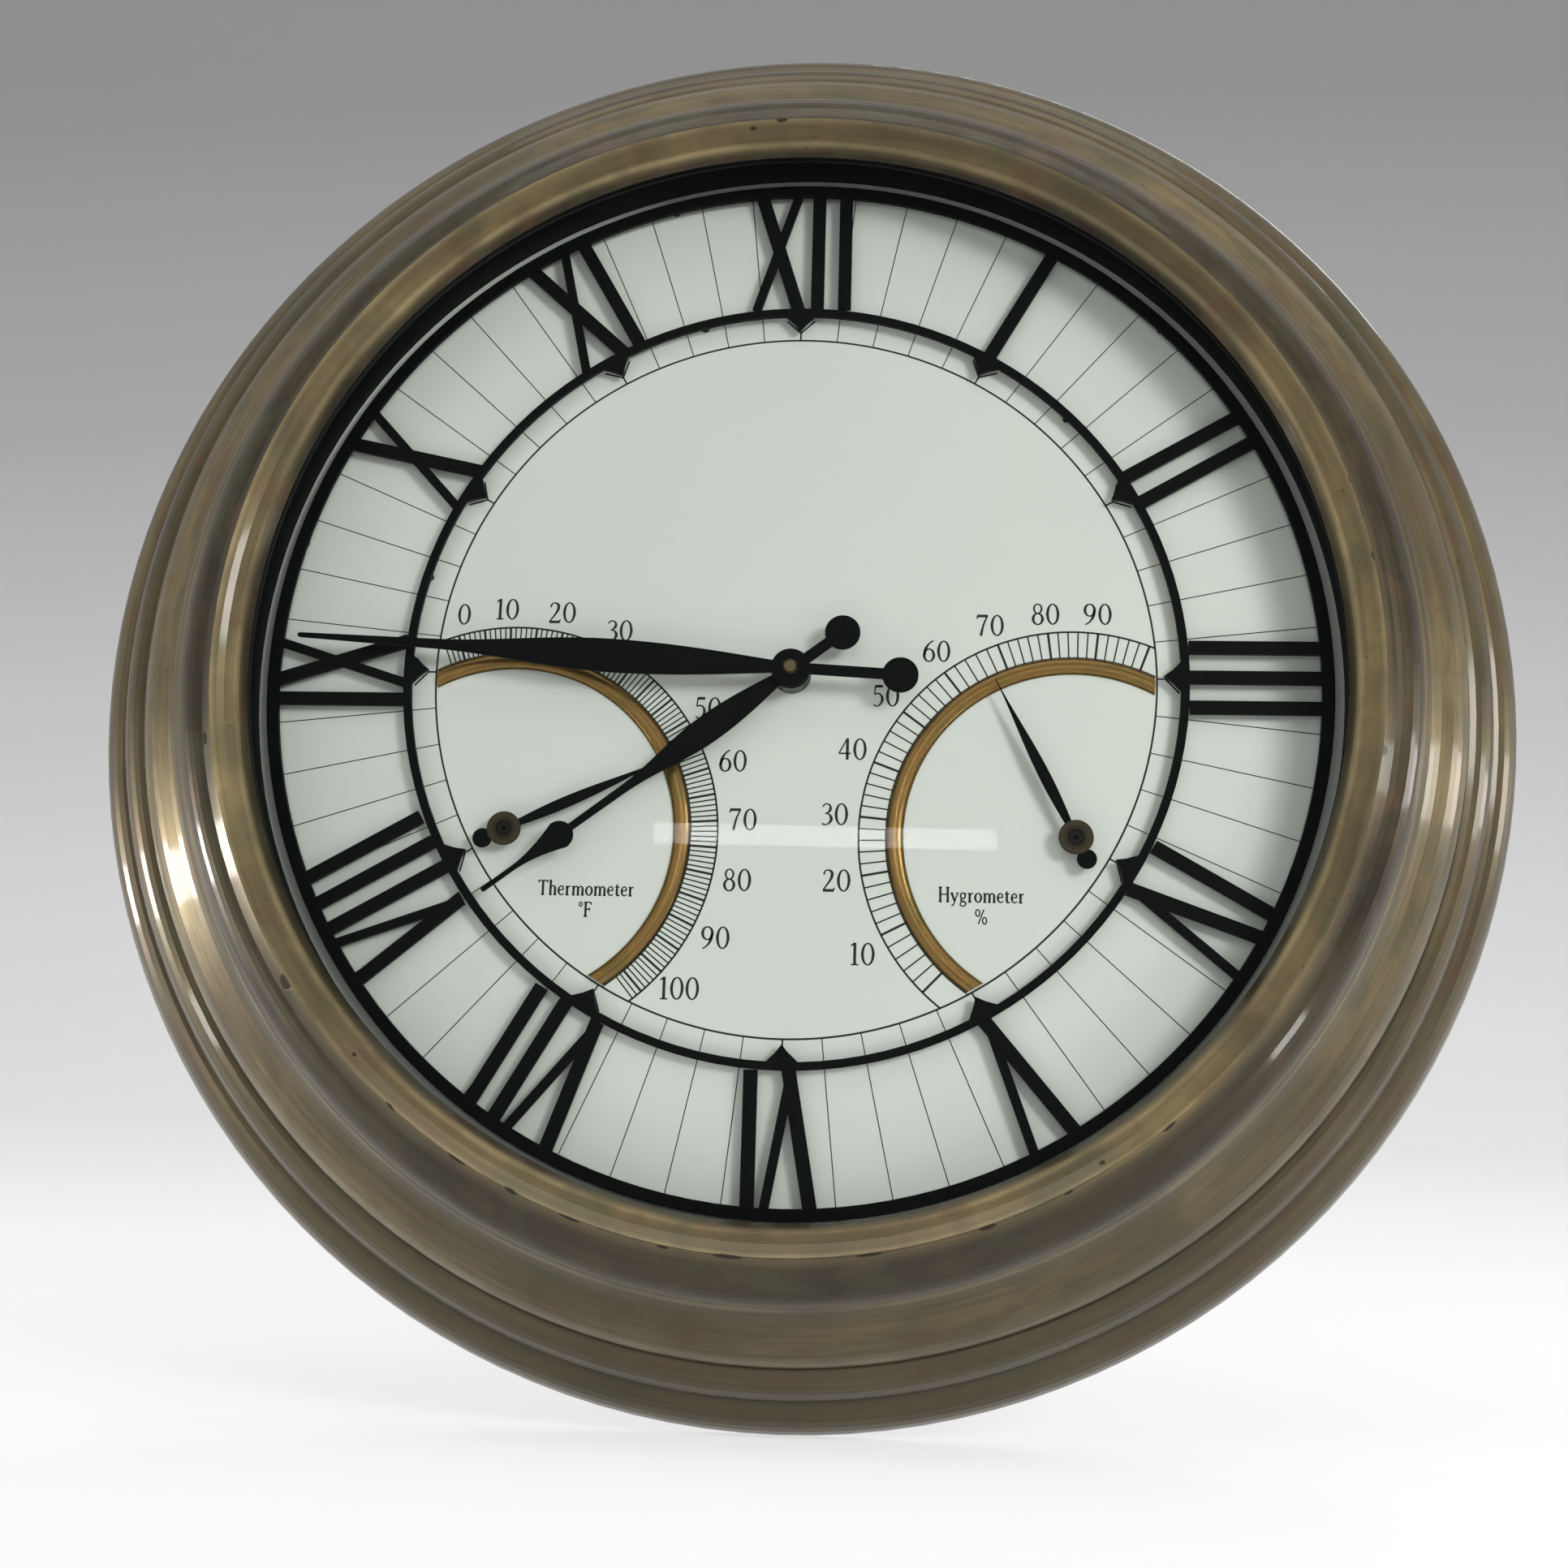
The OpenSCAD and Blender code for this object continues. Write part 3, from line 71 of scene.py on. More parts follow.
class Tree:
    """A material's nodes, added from the coordinates towards the surface."""

    def __init__(self, name):
        self.material = bpy.data.materials.new(name)
        self.material.use_nodes = True
        self.nodes = self.material.node_tree.nodes
        self.links = self.material.node_tree.links
        self.nodes.clear()
        self.place = self.add("ShaderNodeTexCoord").outputs["Object"]

    def add(self, kind, sockets=None, **settings):
        node = self.nodes.new(kind)
        for name, value in settings.items():
            setattr(node, name, value)
        for name, value in (sockets or {}).items():
            self.put(node.inputs[name], value)
        return node

    def put(self, socket, value):
        if isinstance(value, bpy.types.NodeSocket):
            self.links.new(value, socket)
        else:
            socket.default_value = value

    def calc(self, operation, *values):
        node = self.add("ShaderNodeMath", operation=operation)
        for socket, value in zip(node.inputs, values):
            self.put(socket, value)
        return node.outputs[0]

    def vector(self, x, y, z):
        return self.add("ShaderNodeCombineXYZ", {"X": x, "Y": y, "Z": z}).outputs[0]

    def noise(self, scale, place=None, detail=2.0, roughness=0.5):
        sockets = {"Vector": place or self.place, "Scale": scale, "Detail": detail,
                   "Roughness": roughness}
        return self.add("ShaderNodeTexNoise", sockets).outputs["Fac"]

    def span(self, value, low, high, to_low=0.0, to_high=1.0):
        sockets = {"Value": value, "From Min": low, "From Max": high, "To Min": to_low,
                   "To Max": to_high}
        return self.add("ShaderNodeMapRange", sockets).outputs[0]

    def ramp(self, value, stops):
        node = self.add("ShaderNodeValToRGB", {"Fac": value})
        points = node.color_ramp.elements
        while len(points) < len(stops):
            points.new(0.5)
        for point, (position, colour) in zip(points, stops):
            point.position = position
            point.color = colour
        return node.outputs["Color"]

    def mix(self, share, first, second, blend="MIX"):
        """A mix of two colours, which are a mix node's inputs 6 and 7 and its output 2."""
        node = self.add("ShaderNodeMix", data_type="RGBA", blend_type=blend)
        self.put(node.inputs[0], share)
        self.put(node.inputs[6], first)
        self.put(node.inputs[7], second)
        return node.outputs[2]

    def shade(self, colour, low, high, value):
        """The colour made darker and lighter as a value goes from 0 to 1."""
        grey = self.span(value, 0, 1, low, high)
        return self.mix(1, colour, self.vector(grey, grey, grey), "MULTIPLY")

    def bump(self, height, depth, strength=1.0):
        sockets = {"Height": height, "Distance": depth * MM, "Strength": strength}
        return self.add("ShaderNodeBump", sockets).outputs[0]

    def surface(self, **sockets):
        """Ends the tree in one principled shader. Underscores stand for spaces in names."""
        named = {name.replace("_", " "): value for name, value in sockets.items()}
        shader = self.add("ShaderNodeBsdfPrincipled", named)
        end = self.add("ShaderNodeOutputMaterial")
        self.links.new(shader.outputs[0], end.inputs["Surface"])
        return self.material


def polar(tree, centre=(0, 0)):
    """Round an axis along Y: radius in mm, east and north of its direction, and depth in m."""
    part = tree.add("ShaderNodeSeparateXYZ", {"Vector": tree.place}).outputs
    east = tree.calc("MULTIPLY_ADD", part["X"], MM_PER_M, -centre[0])
    north = tree.calc("MULTIPLY_ADD", part["Z"], MM_PER_M, -centre[1])
    squares = tree.calc(
        "ADD", tree.calc("MULTIPLY", east, east), tree.calc("MULTIPLY", north, north))
    radius = tree.calc("SQRT", tree.calc("MAXIMUM", squares, 1e-6))
    return radius, tree.calc("DIVIDE", east, radius), tree.calc("DIVIDE", north, radius), part["Y"]


DEPTH_SHARE = 700        # how much a metre of depth moves the streaks, against a mm of radius


def streaks(tree, ring, turns, pitch, detail=2.0):
    """Noise drawn out round an axis: turns sets how short it is, pitch how fine across."""
    radius, east, north, depth = ring
    across = tree.calc(
        "MULTIPLY_ADD", depth, DEPTH_SHARE * pitch, tree.calc("MULTIPLY", radius, pitch))
    place = tree.vector(
        tree.calc("MULTIPLY", east, turns), tree.calc("MULTIPLY", north, turns), across)
    return tree.noise(1, place, detail)


def blend(tree, share, most, under, over):
    """The colour over, laid on the colour under where a share is, up to the most."""
    return tree.mix(tree.calc("MULTIPLY", share, most), under, over)


# Frame paint: its colours, with painted highlights on the edges and painted shade in the hollows,
# steps and outer rim, and where each one lies across the moulding, by radius in mm

BRONZE = paint(93, 81, 54)
# A lighter copy of the bronze, painted light on the broad bands that face the light
PAINTED_LIGHT_BRONZE = paint(110, 96, 65)
# A darker copy of the bronze, painted shade in the cove, the crease and by the lip
PAINTED_SHADE_BRONZE = paint(62, 53, 34)
# Painted shade: the dark lines at the lip, the step and the outer rim, and the foot of the frame
PAINTED_SHADE = paint(42, 36, 24)
# A painted highlight along the crisp edges of the moulding
PAINTED_HIGHLIGHT = paint(140, 125, 90)
BARE_METAL = paint(54, 38, 25)
RING_WANDER = 0.8        # mm to each side, by which a ring of colour strays
# Painted highlights on the edges at 223.5, 231.8, 252 and 274.2 mm; painted shade at the lip, cove,
# step, crease and rim
FRAME_BANDS_AND_PAINTED_LIGHT = [
    (218, PAINTED_SHADE), (221, PAINTED_SHADE_BRONZE), (223.5, PAINTED_HIGHLIGHT), (225, PAINTED_LIGHT_BRONZE), (230.3, PAINTED_LIGHT_BRONZE),
    (231.8, PAINTED_HIGHLIGHT), (233.4, BRONZE), (237, PAINTED_SHADE_BRONZE), (249, PAINTED_SHADE_BRONZE), (250.6, BRONZE),
    (252, PAINTED_HIGHLIGHT), (253.6, BRONZE), (262, PAINTED_LIGHT_BRONZE), (271, PAINTED_LIGHT_BRONZE), (274.2, PAINTED_HIGHLIGHT),
    (275.7, PAINTED_SHADE), (277.5, BRONZE), (287, BRONZE), (289.6, PAINTED_SHADE_BRONZE), (292, BRONZE),
    (303, BRONZE), (305.5, PAINTED_SHADE),
]
# Chips in the paint: clock angle in degrees, radius, half length and half width in mm
FRAME_CHIPS = [
    (72, 232.4, 2.2, 0.7), (75, 233.4, 4.2, 1.0), (80, 232.4, 2.4, 0.9), (99, 233.6, 2.0, 1.6),
    (141, 232.6, 3.2, 0.8), (152, 232.8, 2.0, 0.6), (160, 233.0, 3.4, 0.9), (171, 232.8, 5.0, 0.7),
    (184, 232.6, 6.0, 0.9), (190, 232.9, 2.4, 0.7), (199, 232.7, 4.6, 0.8), (205, 232.5, 3.0, 1.1),
    (211, 232.9, 4.2, 0.9), (219, 232.6, 2.6, 1.0), (235, 234.4, 3.2, 2.0), (261, 236.8, 2.6, 0.8),
    (355, 229.5, 1.4, 0.6), (358, 231.6, 2.2, 0.7), (148, 229.2, 1.2, 0.7), (225, 228.6, 1.0, 0.6),
]


def bronze_by_radius(tree, ring):
    """The paint's colour across the moulding, with its painted highlights and painted shade, in
    rings that are not quite true.
    """
    inner, outer = FRAME_BANDS_AND_PAINTED_LIGHT[0][0], FRAME_BANDS_AND_PAINTED_LIGHT[-1][0]
    wander = tree.calc(
        "MULTIPLY_ADD", streaks(tree, ring, 5, 0.02), 2 * RING_WANDER, -RING_WANDER)
    place = tree.span(tree.calc("ADD", ring[0], wander), inner, outer)
    return tree.ramp(place, [((r - inner) / (outer - inner), c) for r, c in FRAME_BANDS_AND_PAINTED_LIGHT])


def patina(tree, ring, colour):
    """Green and rust in streaks, painted shade toward the foot of the frame, and dark freckles."""
    radius, east, north, depth = ring
    green = tree.span(streaks(tree, ring, 9, 0.07), 0.5, 0.66)
    colour = blend(tree, green, 0.45, colour, paint(78, 80, 54))
    rust = tree.span(streaks(tree, (radius, north, east, depth), 11, 0.08), 0.54, 0.7)
    colour = blend(tree, rust, 0.45, colour, paint(96, 68, 48))
    # Painted shade: the frame darker toward its foot, outside the crest
    foot = tree.calc("MULTIPLY", tree.span(north, 0.2, -0.9), tree.span(radius, 233, 239))
    colour = blend(tree, foot, 0.5, colour, PAINTED_SHADE)
    freckle = tree.span(tree.noise(420, detail=3), 0.69, 0.74)
    return blend(tree, freckle, 0.6, colour, paint(46, 36, 26))


def chips(tree, ring):
    """1 inside the chips and 0 outside, each an ellipse with a ragged edge.

    Each one would come a second time on the far side of the frame, and is masked out there.
    """
    radius, east, north, _ = ring
    chipped = None
    ragged = tree.calc("MULTIPLY_ADD", tree.noise(900), 0.9, -0.45)
    for angle, at, length, width in FRAME_CHIPS:
        turn = math.radians(angle)
        sine, cosine = math.sin(turn), math.cos(turn)
        along = tree.calc(
            "SUBTRACT", tree.calc("MULTIPLY", east, cosine), tree.calc("MULTIPLY", north, sine))
        facing = tree.calc(
            "ADD", tree.calc("MULTIPLY", east, sine), tree.calc("MULTIPLY", north, cosine))
        part = tree.calc("MULTIPLY", along, at / length)
        rise = tree.calc("DIVIDE", tree.calc("SUBTRACT", radius, at), width)
        far = tree.calc(
            "ADD", tree.calc("MULTIPLY", part, part), tree.calc("MULTIPLY", rise, rise))
        spot = tree.span(tree.calc("ADD", far, ragged), 0.8, 1.2, 1, 0)
        spot = tree.calc("MULTIPLY", spot, tree.span(facing, 0, 0.1))
        chipped = spot if chipped is None else tree.calc("MAXIMUM", chipped, spot)
    return chipped


def frame_paint():
    tree = Tree("frame_paint")
    ring = polar(tree)
    colour = bronze_by_radius(tree, ring)
    broad = streaks(tree, ring, 2.2, 0.03, 3)
    lines = streaks(tree, ring, 4.5, 0.4, 3)
    fine = streaks(tree, ring, 9, 2.6, 2)
    mottle = tree.noise(34, detail=4)
    colour = tree.shade(colour, 0.7, 1.3, tree.span(broad, 0.3, 0.7))
    colour = tree.shade(colour, 0.8, 1.2, tree.span(lines, 0.3, 0.7))
    colour = tree.shade(colour, 0.84, 1.16, tree.span(mottle, 0.3, 0.7))
    colour = tree.shade(colour, 0.94, 1.06, fine)
    colour = patina(tree, ring, colour)
    chipped = chips(tree, ring)
    colour = tree.mix(chipped, colour, BARE_METAL)
    rough = tree.calc("MULTIPLY_ADD", lines, 0.16, 0.28)
    rough = tree.calc("MAXIMUM", rough, tree.calc("MULTIPLY", chipped, 0.8))
    dents = tree.noise(13, detail=1)
    height = tree.calc("MULTIPLY_ADD", dents, 0.9, tree.calc("MULTIPLY", lines, 0.03))
    height = tree.calc("SUBTRACT", height, tree.calc("MULTIPLY", chipped, 0.14))
    return tree.surface(Base_Color=colour, Metallic=0.62, Roughness=rough, Coat_Weight=0.38,
                        Coat_Roughness=0.08, Normal=tree.bump(height, 1))


# Paint, ink, metal, plastic, rubber and glass

def dial_face():
    tree = Tree("dial_face")
    cloud = tree.noise(9, detail=3)
    grain = tree.noise(2600, detail=2)
    colour = tree.ramp(cloud, [(0.3, paint(216, 217, 212)), (0.7, paint(220, 220, 214))])
    colour = tree.shade(colour, 0.97, 1.03, grain)
    specks = tree.span(tree.noise(900, detail=1), 0.79, 0.83)
    colour = blend(tree, specks, 0.12, colour, paint(120, 116, 100))
    rough = tree.calc("MULTIPLY_ADD", cloud, 0.1, 0.42)
    return tree.surface(Base_Color=colour, Roughness=rough, Normal=tree.bump(grain, 0.02))


def black_enamel(name, colour, rough):
    """Black paint, nearly without shine, with a little dust on it."""
    tree = Tree(name)
    cloud = tree.noise(60, detail=3)
    grain = tree.noise(1800, detail=2)
    shade = tree.shade(colour, 0.7, 1.35, cloud)
    dust = tree.span(tree.noise(340, detail=4, roughness=0.7), 0.6, 0.8)
    shade = blend(tree, dust, 0.1, shade, paint(70, 74, 70))
    roughness = tree.calc("MULTIPLY_ADD", cloud, 0.2, rough - 0.1)
    return tree.surface(Base_Color=shade, Roughness=roughness, Specular_IOR_Level=0.07,
                        Normal=tree.bump(grain, 0.03))


def printing_ink():
    tree = Tree("printing_ink")
    shade = tree.shade(paint(12, 14, 14), 0.6, 1.5, tree.noise(1500, detail=2))
    roughness = tree.calc("MULTIPLY_ADD", tree.noise(500), 0.2, 0.4)
    return tree.surface(Base_Color=shade, Roughness=roughness)


def turned_metal(name, colour, rough, tarnish, centre=(0, 0)):
    """Metal with turning marks round an axis, and tarnish in patches."""
    tree = Tree(name)
    ring = polar(tree, centre)
    marks = streaks(tree, ring, 1.5, 4, 2)
    shade = tree.shade(colour, 0.82, 1.14, marks)
    patch = tree.span(tree.noise(140, detail=3), 0.42, 0.66)
    shade = blend(tree, patch, 0.65, shade, tarnish)
    roughness = tree.calc("MULTIPLY_ADD", marks, 0.15, rough - 0.07)
    return tree.surface(Base_Color=shade, Metallic=1.0, Roughness=roughness,
                        Normal=tree.bump(marks, 0.02))


def plated_steel(name, colour, rough):
    """Sheet or plated metal with faint spangle and handling marks."""
    tree = Tree(name)
    cells = tree.add("ShaderNodeTexVoronoi", {"Vector": tree.place, "Scale": 260})
    cloud = tree.noise(70, detail=4)
    marks = tree.calc(
        "MULTIPLY_ADD", cells.outputs["Distance"], 0.4, tree.calc("MULTIPLY", cloud, 0.6))
    shade = tree.shade(colour, 0.84, 1.12, marks)
    roughness = tree.calc("MULTIPLY_ADD", cloud, 0.24, rough - 0.1)
    return tree.surface(Base_Color=shade, Metallic=0.9, Roughness=roughness,
                        Normal=tree.bump(cloud, 0.02))


def moulded_plastic(name, colour, rough, grain_scale=1600, grain_depth=0.03):
    """Plastic or rubber with a moulded grain and a faint cloud of handling."""
    tree = Tree(name)
    grain = tree.noise(grain_scale, detail=2)
    cloud = tree.noise(40, detail=3)
    shade = tree.shade(colour, 0.88, 1.12, cloud)
    roughness = tree.calc("MULTIPLY_ADD", grain, 0.16, rough - 0.08)
    return tree.surface(Base_Color=shade, Roughness=roughness,
                        Normal=tree.bump(grain, grain_depth))


def clear_glass():
    """Thin glass with a faint reflection, blurred where a film of dirt is."""
    tree = Tree("clear_glass")
    film = tree.span(tree.noise(14, detail=4), 0.4, 0.7, 0.0, 0.03)
    through = tree.add("ShaderNodeBsdfTransparent", {"Color": (0.97, 0.985, 0.975, 1)})
    gloss = tree.add("ShaderNodeBsdfGlossy", {"Color": (1, 1, 1, 1), "Roughness": film})
    edge = tree.add("ShaderNodeFresnel", {"IOR": 1.1})
    both = tree.add("ShaderNodeMixShader", {"Fac": edge.outputs[0]})
    tree.links.new(through.outputs[0], both.inputs[1])
    tree.links.new(gloss.outputs[0], both.inputs[2])
    end = tree.add("ShaderNodeOutputMaterial")
    tree.links.new(both.outputs[0], end.inputs["Surface"])
    return tree.material


ARC_IN_R = 68.9
ARC_OUT_R = 76.1
# Brass across the arc's width, inside to outside: painted shade toward both edges, a painted
# highlight at 0.68
ARC_PAINTED_LIGHT_RAMP = [
    (0.0, paint(104, 82, 46)), (0.1, paint(136, 105, 58)), (0.3, paint(160, 123, 68)),
    (0.5, paint(146, 111, 60)), (0.6, paint(128, 98, 54)), (0.68, paint(164, 128, 76)),
    (0.84, paint(134, 103, 58)), (0.97, paint(66, 52, 32)),
]


def arc_brass(name, centre):
    """Aged brass moulding, with painted shade toward both edges and a painted highlight in a light
    line along it, with drawing marks and green patina.
    """
    tree = Tree(name)
    ring = polar(tree, centre)
    colour = tree.ramp(tree.span(ring[0], ARC_IN_R, ARC_OUT_R), ARC_PAINTED_LIGHT_RAMP)
    drawn = streaks(tree, ring, 14, 3, 3)
    colour = tree.shade(colour, 0.88, 1.12, tree.span(drawn, 0.3, 0.7))
    green = tree.span(streaks(tree, ring, 3.5, 0.1), 0.48, 0.66)
    colour = blend(tree, green, 0.55, colour, paint(112, 100, 56))
    roughness = tree.calc("MULTIPLY_ADD", drawn, 0.14, 0.16)
    return tree.surface(Base_Color=colour, Metallic=0.7, Roughness=roughness,
                        Normal=tree.bump(drawn, 0.04))


HUB_R = 8
HUB_RAMP = [
    (0.0, paint(15, 14, 11)), (0.36, paint(18, 16, 12)), (0.52, paint(46, 40, 26)),
    (0.72, paint(66, 57, 37)), (0.95, paint(40, 35, 24)),
]


def hub_bronze(name, centre):
    """A turned bronze cap with a dark eye in its middle."""
    tree = Tree(name)
    ring = polar(tree, centre)
    marks = streaks(tree, ring, 1.5, 4)
    colour = tree.ramp(tree.span(ring[0], 0, HUB_R), HUB_RAMP)
    colour = tree.shade(colour, 0.85, 1.15, marks)
    roughness = tree.calc("MULTIPLY_ADD", marks, 0.15, 0.34)
    return tree.surface(Base_Color=colour, Metallic=0.6, Roughness=roughness,
                        Normal=tree.bump(marks, 0.02))


def staff_steel(name, centre):
    """The blackened end of a staff, as it shows in the eye of its hub."""
    return turned_metal(name, paint(18, 16, 13), 0.5, paint(12, 11, 9), centre)


# Materials on the CAD nodes, by the record's slots and then by name

TEMPERATURE_CENTRE = (-115.986, -67.505)
HUMIDITY_CENTRE = (115.986, -67.505)
by_slot = {
    "frame_paint": frame_paint(),
    "clear_glass": clear_glass(),
    "black_rubber": moulded_plastic("black_rubber", paint(34, 34, 34), 0.8),
    "black_paint": black_enamel("black_paint", paint(6, 9, 9), 0.46),
    "dial_face": dial_face(),
    "zinc_steel": plated_steel("zinc_steel", paint(186, 187, 190), 0.34),
    "nickel_plate": plated_steel("nickel_plate", paint(214, 210, 200), 0.22),
    "aged_brass": turned_metal("aged_brass", paint(96, 80, 52), 0.42, paint(62, 56, 42)),
    "plain_brass": turned_metal("plain_brass", paint(206, 172, 104), 0.25, paint(176, 140, 84)),
    "aluminium_plain": plated_steel("aluminium_plain", paint(196, 197, 198), 0.4),
    "black_aluminium": black_enamel("black_aluminium", paint(5, 8, 8), 0.42),
    "black_plastic": moulded_plastic("black_plastic", paint(44, 44, 46), 0.55),
    "wheel_plastic": moulded_plastic("wheel_plastic", paint(228, 226, 214), 0.32, 900, 0.01),
    "battery_can": moulded_plastic("battery_can", paint(58, 66, 60), 0.3, 700, 0.01),
    "circuit_green": moulded_plastic("circuit_green", paint(52, 104, 70), 0.4, 1100, 0.02),
    "copper_wire": turned_metal("copper_wire", paint(186, 112, 66), 0.3, paint(150, 84, 48)),
    "bimetal_strip": plated_steel("bimetal_strip", paint(190, 168, 120), 0.35),
}
by_node = {
    "temperature_arc": arc_brass("temperature_brass", TEMPERATURE_CENTRE),
    "humidity_arc": arc_brass("humidity_brass", HUMIDITY_CENTRE),
    "temperature_hub": hub_bronze("temperature_bronze", TEMPERATURE_CENTRE),
    "humidity_hub": hub_bronze("humidity_bronze", HUMIDITY_CENTRE),
    "cap_nut": turned_metal("cap_bronze", paint(108, 92, 72), 0.32, paint(70, 58, 44)),
    "temperature_staff": staff_steel("temperature_steel", TEMPERATURE_CENTRE),
    "humidity_staff": staff_steel("humidity_steel", HUMIDITY_CENTRE),
}
for row in frame["record"]["subparts"]:
    slots = frame["nodes"][row["node"]].data.materials
    slots.clear()
    slots.append(by_node.get(row["node"], by_slot[row["material_slot"]]))


# Printing on the dial: thin flat ribbons just off its face

DIAL_FACE_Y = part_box("dial_plate")[0].y
INK_LIFT = 0.03 * MM
INK_Y = DIAL_FACE_Y - INK_LIFT
NARROWEST = 0.02         # of a letter's stroke, in heights


class Print:
    """Ribbons of ink in one mesh, drawn in mm with x to the right and y up, round a centre."""

    def __init__(self, name, centre=(0, 0)):
        self.name = name
        self.centre = centre
        self.mesh = bmesh.new()

    def point(self, x, y):
        east, north = self.centre
        return self.mesh.verts.new(((east + x) * MM, INK_Y, (north + y) * MM))

    def ribbon(self, points, widths, closed=False):
        """A ribbon along points, as wide as said at each one, square to its own run."""
        count = len(points)
        sides = []
        for i, (x, y) in enumerate(points):
            before = points[i - 1] if closed or i else points[0]
            after = points[(i + 1) % count] if closed or i + 1 < count else points[-1]
            run = Vector((after[0] - before[0], after[1] - before[1])).normalized()
            half = widths[i] / 2
            sides.append((self.point(x - run.y * half, y + run.x * half),
                          self.point(x + run.y * half, y - run.x * half)))
        for i in range(count if closed else count - 1):
            (a, b), (c, d) = sides[i], sides[(i + 1) % count]
            self.mesh.faces.new((a, b, d, c))

    def line(self, start, end, width):
        self.ribbon([start, end], [width, width])

    def arc(self, radius, first, last, width, step=1.5):
        count = max(2, round(abs(last - first) / step) + 1)
        turns = [first + (last - first) * i / (count - 1) for i in range(count)]
        self.ribbon([on_clock(radius, turn) for turn in turns], [width] * count)

    def circle(self, radius, width, steps=240):
        points = [on_clock(radius, 360 * i / steps) for i in range(steps)]
        self.ribbon(points, [width] * steps, closed=True)

    def text(self, words, middle, height, gap=0.12, bold=0.0):
        """Upright letters, centred on a point. Bold widens every stroke, in mm."""
        letters = [GLYPHS[letter] for letter in words]
        length = sum(width for width, _ in letters) + gap * (len(letters) - 1)
        x = middle[0] - length * height / 2
        y = middle[1] - height / 2
        for width, strokes in letters:
            for stroke in strokes:
                points, widths = smooth(stroke)
                placed = [(x + px * height, y + py * height) for px, py in points]
                self.ribbon(placed, [w * height + bold for w in widths])
            x += (width + gap) * height

    def finish(self):
        mesh = bpy.data.meshes.new(self.name)
        bmesh.ops.recalc_face_normals(self.mesh, faces=self.mesh.faces)
        for face in self.mesh.faces:
            if face.normal.y > 0:
                face.normal_flip()
        self.mesh.to_mesh(mesh)
        self.mesh.free()
        piece = bpy.data.objects.new(self.name, mesh)
        bpy.context.scene.collection.objects.link(piece)
        mesh.materials.append(ink)
        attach(piece, "case")


def on_clock(radius, degrees):
    """A point at a clock angle, clockwise from the top."""
    return radius * math.sin(math.radians(degrees)), radius * math.cos(math.radians(degrees))


def smooth(stroke, steps=6):
    """Points and widths along a stroke. With two points it is straight, else it curves."""
    if len(stroke) == 2:
        return [p[:2] for p in stroke], [p[2] for p in stroke]
    closed = stroke[0][:2] == stroke[-1][:2]
    count = len(stroke) - 1
    points, widths = [], []
    for i in range(count):
        before = stroke[i - 1] if i else (stroke[-2] if closed else stroke[0])
        after = stroke[i + 2] if i + 2 <= count else (stroke[1] if closed else stroke[-1])
        for k in range(steps + (i + 1 == count)):
            t = k / steps
            knots = zip(before, stroke[i], stroke[i + 1], after)
            x, y, width = (
                0.5 * (2 * b + (c - a) * t + (2 * a - 5 * b + 4 * c - d) * t * t
                       + (3 * b - a - 3 * c + d) * t ** 3) for a, b, c, d in knots)
            points.append((x, y))
            widths.append(max(width, NARROWEST))
    return points, widths


# Letters and figures: a width, then strokes of points (x, y, stroke width), in heights
THIN = 0.055
STEM = 0.12


def hair(x, y, to_x, to_y):
    return [(x, y, THIN), (to_x, to_y, THIN)]


def stem(x, y, to_x, to_y):
    return [(x, y, STEM), (to_x, to_y, STEM)]


def ring_stroke(x, y, wide, tall, thin, thick):
    """A closed round stroke, thin at the top and the foot, thick at the sides."""
    stroke = []
    for i in range(8):
        turn = math.radians(45 * i)
        width = thin + (thick - thin) * math.sin(turn) ** 2
        stroke.append((x + wide * math.sin(turn), y + tall * math.cos(turn), width))
    return stroke + stroke[:1]


